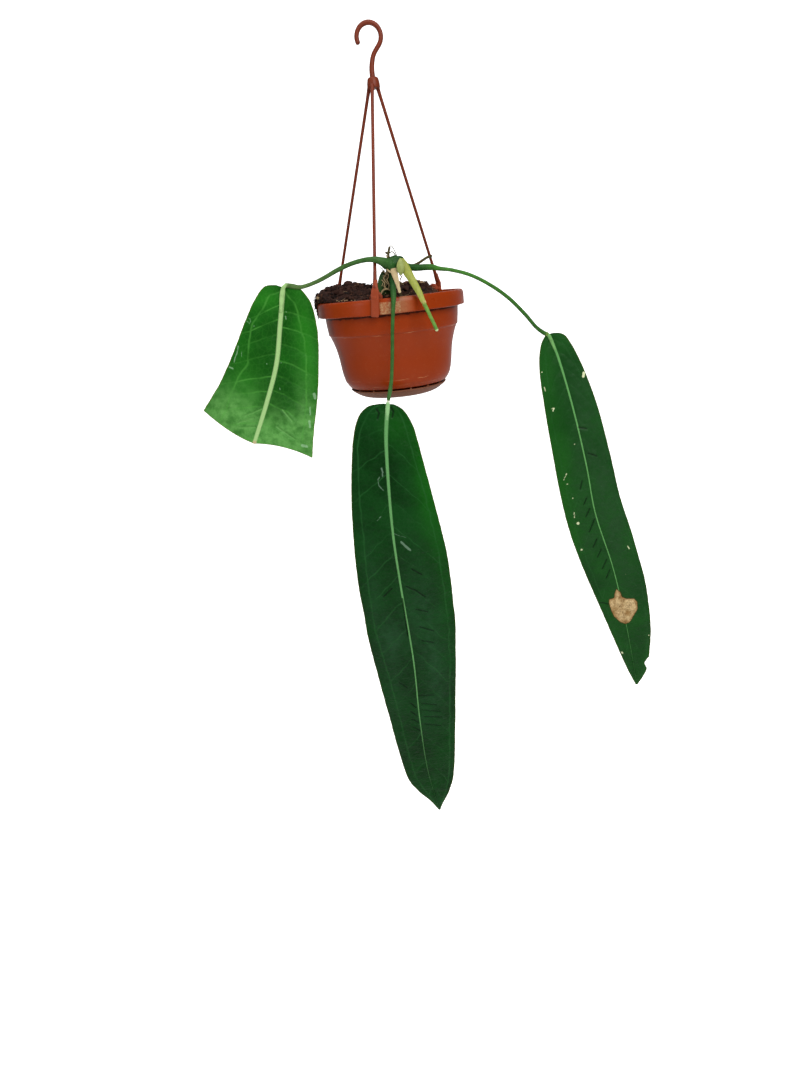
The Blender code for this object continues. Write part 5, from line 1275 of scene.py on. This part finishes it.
def leaf_upper(name, tones, shine, wrinkle, vein_force, scuffed, cut=False, burnt=False):
    """Upper leaf face: cuticle-waxed green with pale veins and a faint net of fine veins,
    brightened in patches by painted light, dulled where a painted sheen lies, with painted
    shading along its creases, scuffed and dry-edged."""
    deep, bright, rib, vein, haze, fresh, scuff, fold = [linear(tone) for tone in tones]
    mat, shader = new_finish(name, {"IOR": 1.45, "Specular IOR Level": 0.1})
    at = add_node(mat, "TexCoord", {}, {}).outputs["Object"]
    got = {key: add_node(mat, "Attribute", {"attribute_name": key}, {}).outputs["Fac"]
           for key in ("across", "ribwide", "phase", "gap", "loop", "margin", "along", "spot",
                       "haze", "fresh", "mark", "crease")}
    for key, grain_mm, detail, coarse, twist in (
            ("patch", 40.0, 5.0, 0.55, 0.0), ("cloud", 9.0, 6.0, 0.62, 0.0),
            ("broken", 14.0, 2.0, 0.5, 0.0), ("scuffing", 2.5, 4.0, 0.7, 0.0),
            ("cracking", 5.0, 3.0, 0.5, 1.2), ("pores", 1.5, 4.0, 0.5, 0.0)):
        got[key] = add_node(mat, "TexNoise", {}, {
            "Vector": at, "Scale": 1000 / grain_mm, "Detail": detail, "Roughness": coarse,
            "Distortion": twist}).outputs["Fac"]
    got["net"] = add_node(mat, "TexVoronoi", {"feature": "DISTANCE_TO_EDGE"}, {
        "Vector": at, "Scale": 1000 / 5.0}).outputs["Distance"]
    # Millimetres to the nearest side vein, loop vein, midrib, scuff and edge of the burn.
    for key, operation, first, second in (
            ("swing", "PINGPONG", "phase", 0.5), ("vein_mm", "MULTIPLY", "swing", "gap"),
            ("number", "ROUND", "phase", 0.0), ("loop_mm", "ABSOLUTE", "loop", 0.0),
            ("off_mm", "ABSOLUTE", "across", 0.0), ("rib_share", "DIVIDE", "off_mm", "ribwide"),
            ("centred", "SUBTRACT", "scuffing", 0.5), ("ragged", "MULTIPLY", "centred", 1.6),
            ("mark_mm", "ADD", "mark", "ragged"), ("spot_mm", "ADD", "spot", "ragged")):
        got[key] = add_node(mat, "Math", {"operation": operation}, {
            0: got[first], 1: got.get(second, second)}).outputs[0]
    got["chance"] = add_node(mat, "TexWhiteNoise", {"noise_dimensions": "1D"}, {
        "W": got["number"]}).outputs["Value"]
    # Soft amounts: each goes from start to stop as its field goes from low to high.
    for key, field, low, high, start, stop in (
            ("bright_part", "patch", 0.35, 0.68, 0.0, 1.0), ("patchy", "patch", 0.1, 0.6, 0.6, 1.0),
            ("cloudy", "cloud", 0.3, 0.66, 0.3, 0.95), ("net_line", "net", 0.12, 0.0, 0.0, 0.14 * vein_force),
            ("vein_line", "vein_mm", 1.3, 0.1, 0.0, 1.0), ("force", "chance", 0.0, 1.0, 0.3, 1.0),
            ("breaks", "broken", 0.35, 0.6, 0.35, 1.0), ("inside", "loop", -1.0, 3.0, 1.0, 0.35),
            ("loop_line", "loop_mm", 1.5, 0.1, 0.0, 0.8), ("loop_breaks", "broken", 0.3, 0.6, 0.4, 1.0),
            ("rib_line", "rib_share", 1.15, 0.55, 0.0, 1.0),
            ("rib_fade", "along", 0.7, 0.98, 1.0, 1.0 if cut else 0.12),
            ("painted_crease_shading", "crease", 1.2, 0.3, 0.0, 0.75),
            ("scuff_part", "mark_mm", 0.35, -0.25, 0.0, scuffed),
            ("dry_edge", "margin", 1.1, 0.1, 0.0, 0.6), ("cut_end", "margin", 4.5, 1.5, 0.0, 0.8),
            ("rough", "patch", 0.3, 0.7, shine - 0.05, shine + 0.08),
            ("lower", "along", 0.2, 0.5, 0.25, 1.0), ("dead", "spot_mm", 0.3, -0.3, 0.0, 1.0),
            ("burn_edge", "spot_mm", 1.2, 0.3, 0.0, 1.0), ("burn_cloud", "cloud", 0.3, 0.7, 0.0, 1.0),
            ("burn_rim", "spot_mm", -3.0, -0.6, 0.0, 0.5)):
        got[key] = add_node(mat, "MapRange", SMOOTH, {
            "Value": got[field], "From Min": low, "From Max": high, "To Min": start,
            "To Max": stop}).outputs[0]
    got["ridge"] = add_node(mat, "Math", {"operation": "COMPARE"}, {
        0: got["cracking"], 1: 0.5, 2: 0.016}).outputs[0]
    stretched = add_node(mat, "Mapping", {}, {"Vector": at, "Scale": (0.8, 1.0, 1.9)}).outputs[0]
    got["puckers"] = add_node(mat, "TexNoise", {}, {
        "Vector": stretched, "Scale": 1000 / 8, "Detail": 5.0, "Roughness": 0.6,
        "Distortion": 0.8}).outputs["Fac"]
    for key, first, *others in (
            ("painted_light_part", "fresh", "patchy"), ("painted_sheen_part", "haze", "cloudy"),
            ("vein_part", "vein_line", "force", "breaks", "inside"),
            ("loop_part", "loop_line", "loop_breaks"), ("rib_part", "rib_line", "rib_fade"),
            ("cut_part", "cut_end", "rib_part"), ("crack_part", "ridge", 0.65),
            ("relief", "puckers", "lower")):
        got[key] = got[first]
        for other in others:
            got[key] = add_node(mat, "Math", {"operation": "MULTIPLY"}, {
                0: got[key], 1: got.get(other, other)}).outputs[0]
    both = add_node(mat, "Math", {"operation": "MAXIMUM"}, {0: got["vein_part"], 1: got["loop_part"]})
    got["veins"] = add_node(mat, "Math", {"operation": "MULTIPLY"}, {
        0: both.outputs[0], 1: vein_force}).outputs[0]
    # Among these layers are patches of painted light, patches of painted sheen, and painted shading along the
    # creases: dark shade on the old and burnt leaves, sheen on the young one.
    layers = [("bright_part", bright), ("painted_light_part", fresh), ("painted_sheen_part", haze), ("net_line", vein),
              ("veins", vein), ("rib_part", rib), ("painted_crease_shading", fold), ("scuff_part", scuff),
              ("dry_edge", linear("#7E7A3E"))]
    rough = got["rough"]
    if cut:
        # The midrib's cut end has dried brown.
        layers.append(("cut_part", linear("#B49A78")))
    if burnt:
        # Dead tissue where the leaf burned: dry tan paper, cracked, with a dark rust border.
        tan = linear("#8E6E42")
        for amount, tone in (("burn_cloud", "#D6BC8C"), ("crack_part", "#5A3E20"), ("burn_rim", "#8A6438")):
            tan = add_node(mat, "Mix", RGBA, {0: got[amount], 6: tan, 7: linear(tone)}).outputs[2]
        layers += [("burn_edge", linear("#3E3412")), ("dead", tan)]
        rough = add_node(mat, "Mix", {}, {0: got["dead"], 2: rough, 3: 0.85}).outputs[0]
    green = deep
    for amount, tone in layers:
        green = add_node(mat, "Mix", RGBA, {0: got[amount], 6: green, 7: tone}).outputs[2]
    bump = add_node(mat, "Bump", {}, {"Height": got["pores"], "Strength": 0.15, "Distance": 0.0003})
    bump = add_node(mat, "Bump", {}, {
        "Height": got["relief"], "Strength": wrinkle, "Distance": 0.0025, "Normal": bump.outputs[0]})
    feed(mat, shader, {"Base Color": green, "Roughness": rough, "Normal": bump.outputs[0]})
    return mat


def leaf_under(name, tone, rib):
    """Lower leaf face: unwaxed, paler and dull, with the midrib and veins standing proud."""
    mat, shader = new_finish(name, {"IOR": 1.45, "Specular IOR Level": 0.2, "Roughness": 0.62})
    at = add_node(mat, "TexCoord", {}, {}).outputs["Object"]
    field = {key: add_node(mat, "Attribute", {"attribute_name": key}, {}).outputs["Fac"]
             for key in ("across", "ribwide", "phase", "gap")}
    cloudy = add_node(mat, "TexNoise", {}, {"Vector": at, "Scale": 1000 / 25, "Detail": 4.0})
    shade = add_node(mat, "MapRange", {}, {"Value": cloudy.outputs["Fac"], "To Min": 0.75, "To Max": 1.25})
    green = add_node(mat, "HueSaturation", {},
                     {"Value": shade.outputs[0], "Color": linear(tone)}).outputs["Color"]
    swing = add_node(mat, "Math", {"operation": "PINGPONG"}, {0: field["phase"], 1: 0.5})
    vein_mm = add_node(mat, "Math", {"operation": "MULTIPLY"}, {0: swing.outputs[0], 1: field["gap"]})
    vein_line = add_node(mat, "MapRange", SMOOTH, {
        "Value": vein_mm.outputs[0], "From Min": 1.1, "From Max": 0.2, "To Max": 0.55})
    off_mm = add_node(mat, "Math", {"operation": "ABSOLUTE"}, {0: field["across"]})
    rib_share = add_node(mat, "Math", {"operation": "DIVIDE"}, {0: off_mm.outputs[0], 1: field["ribwide"]})
    rib_line = add_node(mat, "MapRange", SMOOTH, {
        "Value": rib_share.outputs[0], "From Min": 1.3, "From Max": 0.9})
    lines = add_node(mat, "Math", {"operation": "MAXIMUM"}, {0: vein_line.outputs[0], 1: rib_line.outputs[0]})
    green = add_node(mat, "Mix", RGBA, {0: lines.outputs[0], 6: green, 7: linear(rib)}).outputs[2]
    feed(mat, shader, {"Base Color": green})
    return mat


# Living leaf, its cuticle waxed: deep, bright, rib, vein, painted sheen, painted light, scuff and crease tones.
# The crease tone is painted shade on the old and burnt leaves and painted sheen on the young one.
young_upper = leaf_upper("leaf face, waxed, young", (
    "#0E470A", "#155C0E", "#98BC7A", "#4A9038", "#5E9A4C", "#267A18", "#9CC39A", "#5E9A4C"), 0.4, 0.25, 0.6,
    0.45, cut=True)
old_upper = leaf_upper("leaf face, waxed, old", (
    "#052A08", "#083A0E", "#5E9458", "#255A2A", "#1E4426", "#0E520A", "#8FB096", "#031405"), 0.34, 0.9, 0.6,
    0.35)
burnt_upper = leaf_upper("leaf face, waxed, with a burn", (
    "#0E3A10", "#144814", "#5C9654", "#245428", "#1E4220", "#165012", "#DCE2B4", "#041A06"), 0.36, 0.7, 0.35,
    0.85, burnt=True)
young_under = leaf_under("leaf underside, young", "#4C8A3A", "#A9C98A")
old_under = leaf_under("leaf underside, old", "#3A6A34", "#86A86C")
for name, leaf, rows, cells, upper, under, slot in (
        ("blade_left", LEFT_LEAF, 190, 58, young_upper, young_under, "blade_light"),
        ("blade_centre", CENTRE_LEAF, 400, 38, old_upper, old_under, "blade_dark"),
        ("blade_right", RIGHT_LEAF, 360, 32, burnt_upper, old_under, "blade_dark")):
    points, faces, shown, kinds = leaf_body(leaf, rows, cells)
    blade = piece(name, (points, faces, shown), [upper, under], (name,))
    blade.data.polygons.foreach_set("material_index", kinds)


# THE STUDIO: a pale seamless floor that sweeps up behind the hanging pot, a tall soft light
# at the left of the camera, a soft light above, and a pale surround.
CAMERA_AT = (-0.02007, -0.76221, -0.21949)
PITCH = math.radians(19.899)
ROLL = math.radians(6.126)
FOCAL_PIXELS = 700.0
FRAME_HEIGHT = 1065
FLOOR_Z = -0.98
FLOOR_NEAR = -4.0
FLOOR_FAR = 1.4
FLOOR_HALF = 5.0
SWEEP_RADIUS = 1.6
WALL_TOP = 3.6
SURROUND_GREY = 0.19

sweep = bmesh.new()
rows = []
bend = [math.radians(9 * k) for k in range(1, 11)]
outline = [(FLOOR_NEAR, 0.0), (FLOOR_FAR, 0.0)]
outline += [(FLOOR_FAR + SWEEP_RADIUS * math.sin(a), SWEEP_RADIUS * (1.0 - math.cos(a))) for a in bend]
outline.append((FLOOR_FAR + SWEEP_RADIUS, WALL_TOP))
for y, z in outline:
    rows.append([sweep.verts.new((x, y, FLOOR_Z + z)) for x in (-FLOOR_HALF, FLOOR_HALF)])
for a, b in zip(rows, rows[1:]):
    sweep.faces.new((a[0], a[1], b[1], b[0]))
sweep_mesh = bpy.data.meshes.new("floor")
sweep.to_mesh(sweep_mesh)
sweep.free()
sweep_mesh.shade_smooth()
# Matt white seamless paper: a faint fibre only.
floor_paper, paper_shader = new_finish("seamless paper, matt", {"Roughness": 0.95, "Specular IOR Level": 0.1})
at = add_node(floor_paper, "TexCoord", {}, {}).outputs["Object"]
fibre_tone = add_node(floor_paper, "TexNoise", {}, {"Vector": at, "Scale": 40.0})
paper_tone = add_node(floor_paper, "Mix", RGBA, {
    0: fibre_tone.outputs["Fac"], 6: linear("#F6F6F6"), 7: linear("#FCFCFC")})
glow = add_node(floor_paper, "LightPath", {}, {}).outputs["Is Camera Ray"]
feed(floor_paper, paper_shader, {
    "Base Color": paper_tone.outputs[2], "Emission Color": (1.0, 1.0, 1.0, 1.0), "Emission Strength": glow})
sweep_mesh.materials.append(floor_paper)
floor = bpy.data.objects.new("floor", sweep_mesh)
bpy.context.collection.objects.link(floor)

for light_name, where, size, power in (("window", (-1.5, -1.25, 0.35), (0.22, 1.5), 8.0),
                                       ("main", (0.7, -1.7, 0.9), (1.3, 1.3), 38.0),
                                       ("top", (0.0, -0.1, 1.9), (2.2, 2.2), 32.0)):
    lamp = bpy.data.lights.new(light_name, "AREA")
    lamp.shape = "RECTANGLE"
    lamp.size, lamp.size_y = size
    lamp.energy = power
    lamp_piece = bpy.data.objects.new(light_name, lamp)
    lamp_piece.location = where
    aim = Vector((0.0, 0.0, -0.4)) - Vector(where)
    lamp_piece.rotation_euler = aim.to_track_quat("-Z", "Y").to_euler()
    bpy.context.collection.objects.link(lamp_piece)

surround = bpy.data.worlds.new("surround")
surround.use_nodes = True
sky = surround.node_tree
seen = sky.nodes.new("ShaderNodeLightPath")
tone = sky.nodes.new("ShaderNodeMix")
tone.data_type = "RGBA"
tone.inputs[6].default_value = (SURROUND_GREY, SURROUND_GREY, SURROUND_GREY, 1.0)
tone.inputs[7].default_value = (1.0, 1.0, 1.0, 1.0)
sky.links.new(seen.outputs["Is Camera Ray"], tone.inputs[0])
sky.links.new(tone.outputs[2], sky.nodes["Background"].inputs["Color"])
bpy.context.scene.world = surround
bpy.context.scene.view_settings.view_transform = "Standard"

camera_data = bpy.data.cameras.new("camera")
camera_data.sensor_fit = "VERTICAL"
camera_data.sensor_height = 36.0
camera_data.lens = FOCAL_PIXELS / FRAME_HEIGHT * camera_data.sensor_height
camera_data.clip_start = 0.01
camera = bpy.data.objects.new("camera", camera_data)
bpy.context.collection.objects.link(camera)
right = Vector((1.0, 0.0, 0.0))
upward = Vector((0.0, math.sin(PITCH), math.cos(PITCH)))
ahead = Vector((0.0, math.cos(PITCH), -math.sin(PITCH)))
cam_x = right * math.cos(ROLL) - upward * math.sin(ROLL)
cam_y = right * math.sin(ROLL) + upward * math.cos(ROLL)
camera.matrix_world = Matrix.Translation(CAMERA_AT) @ Matrix((cam_x, cam_y, -ahead)).transposed().to_4x4()
bpy.context.scene.camera = camera
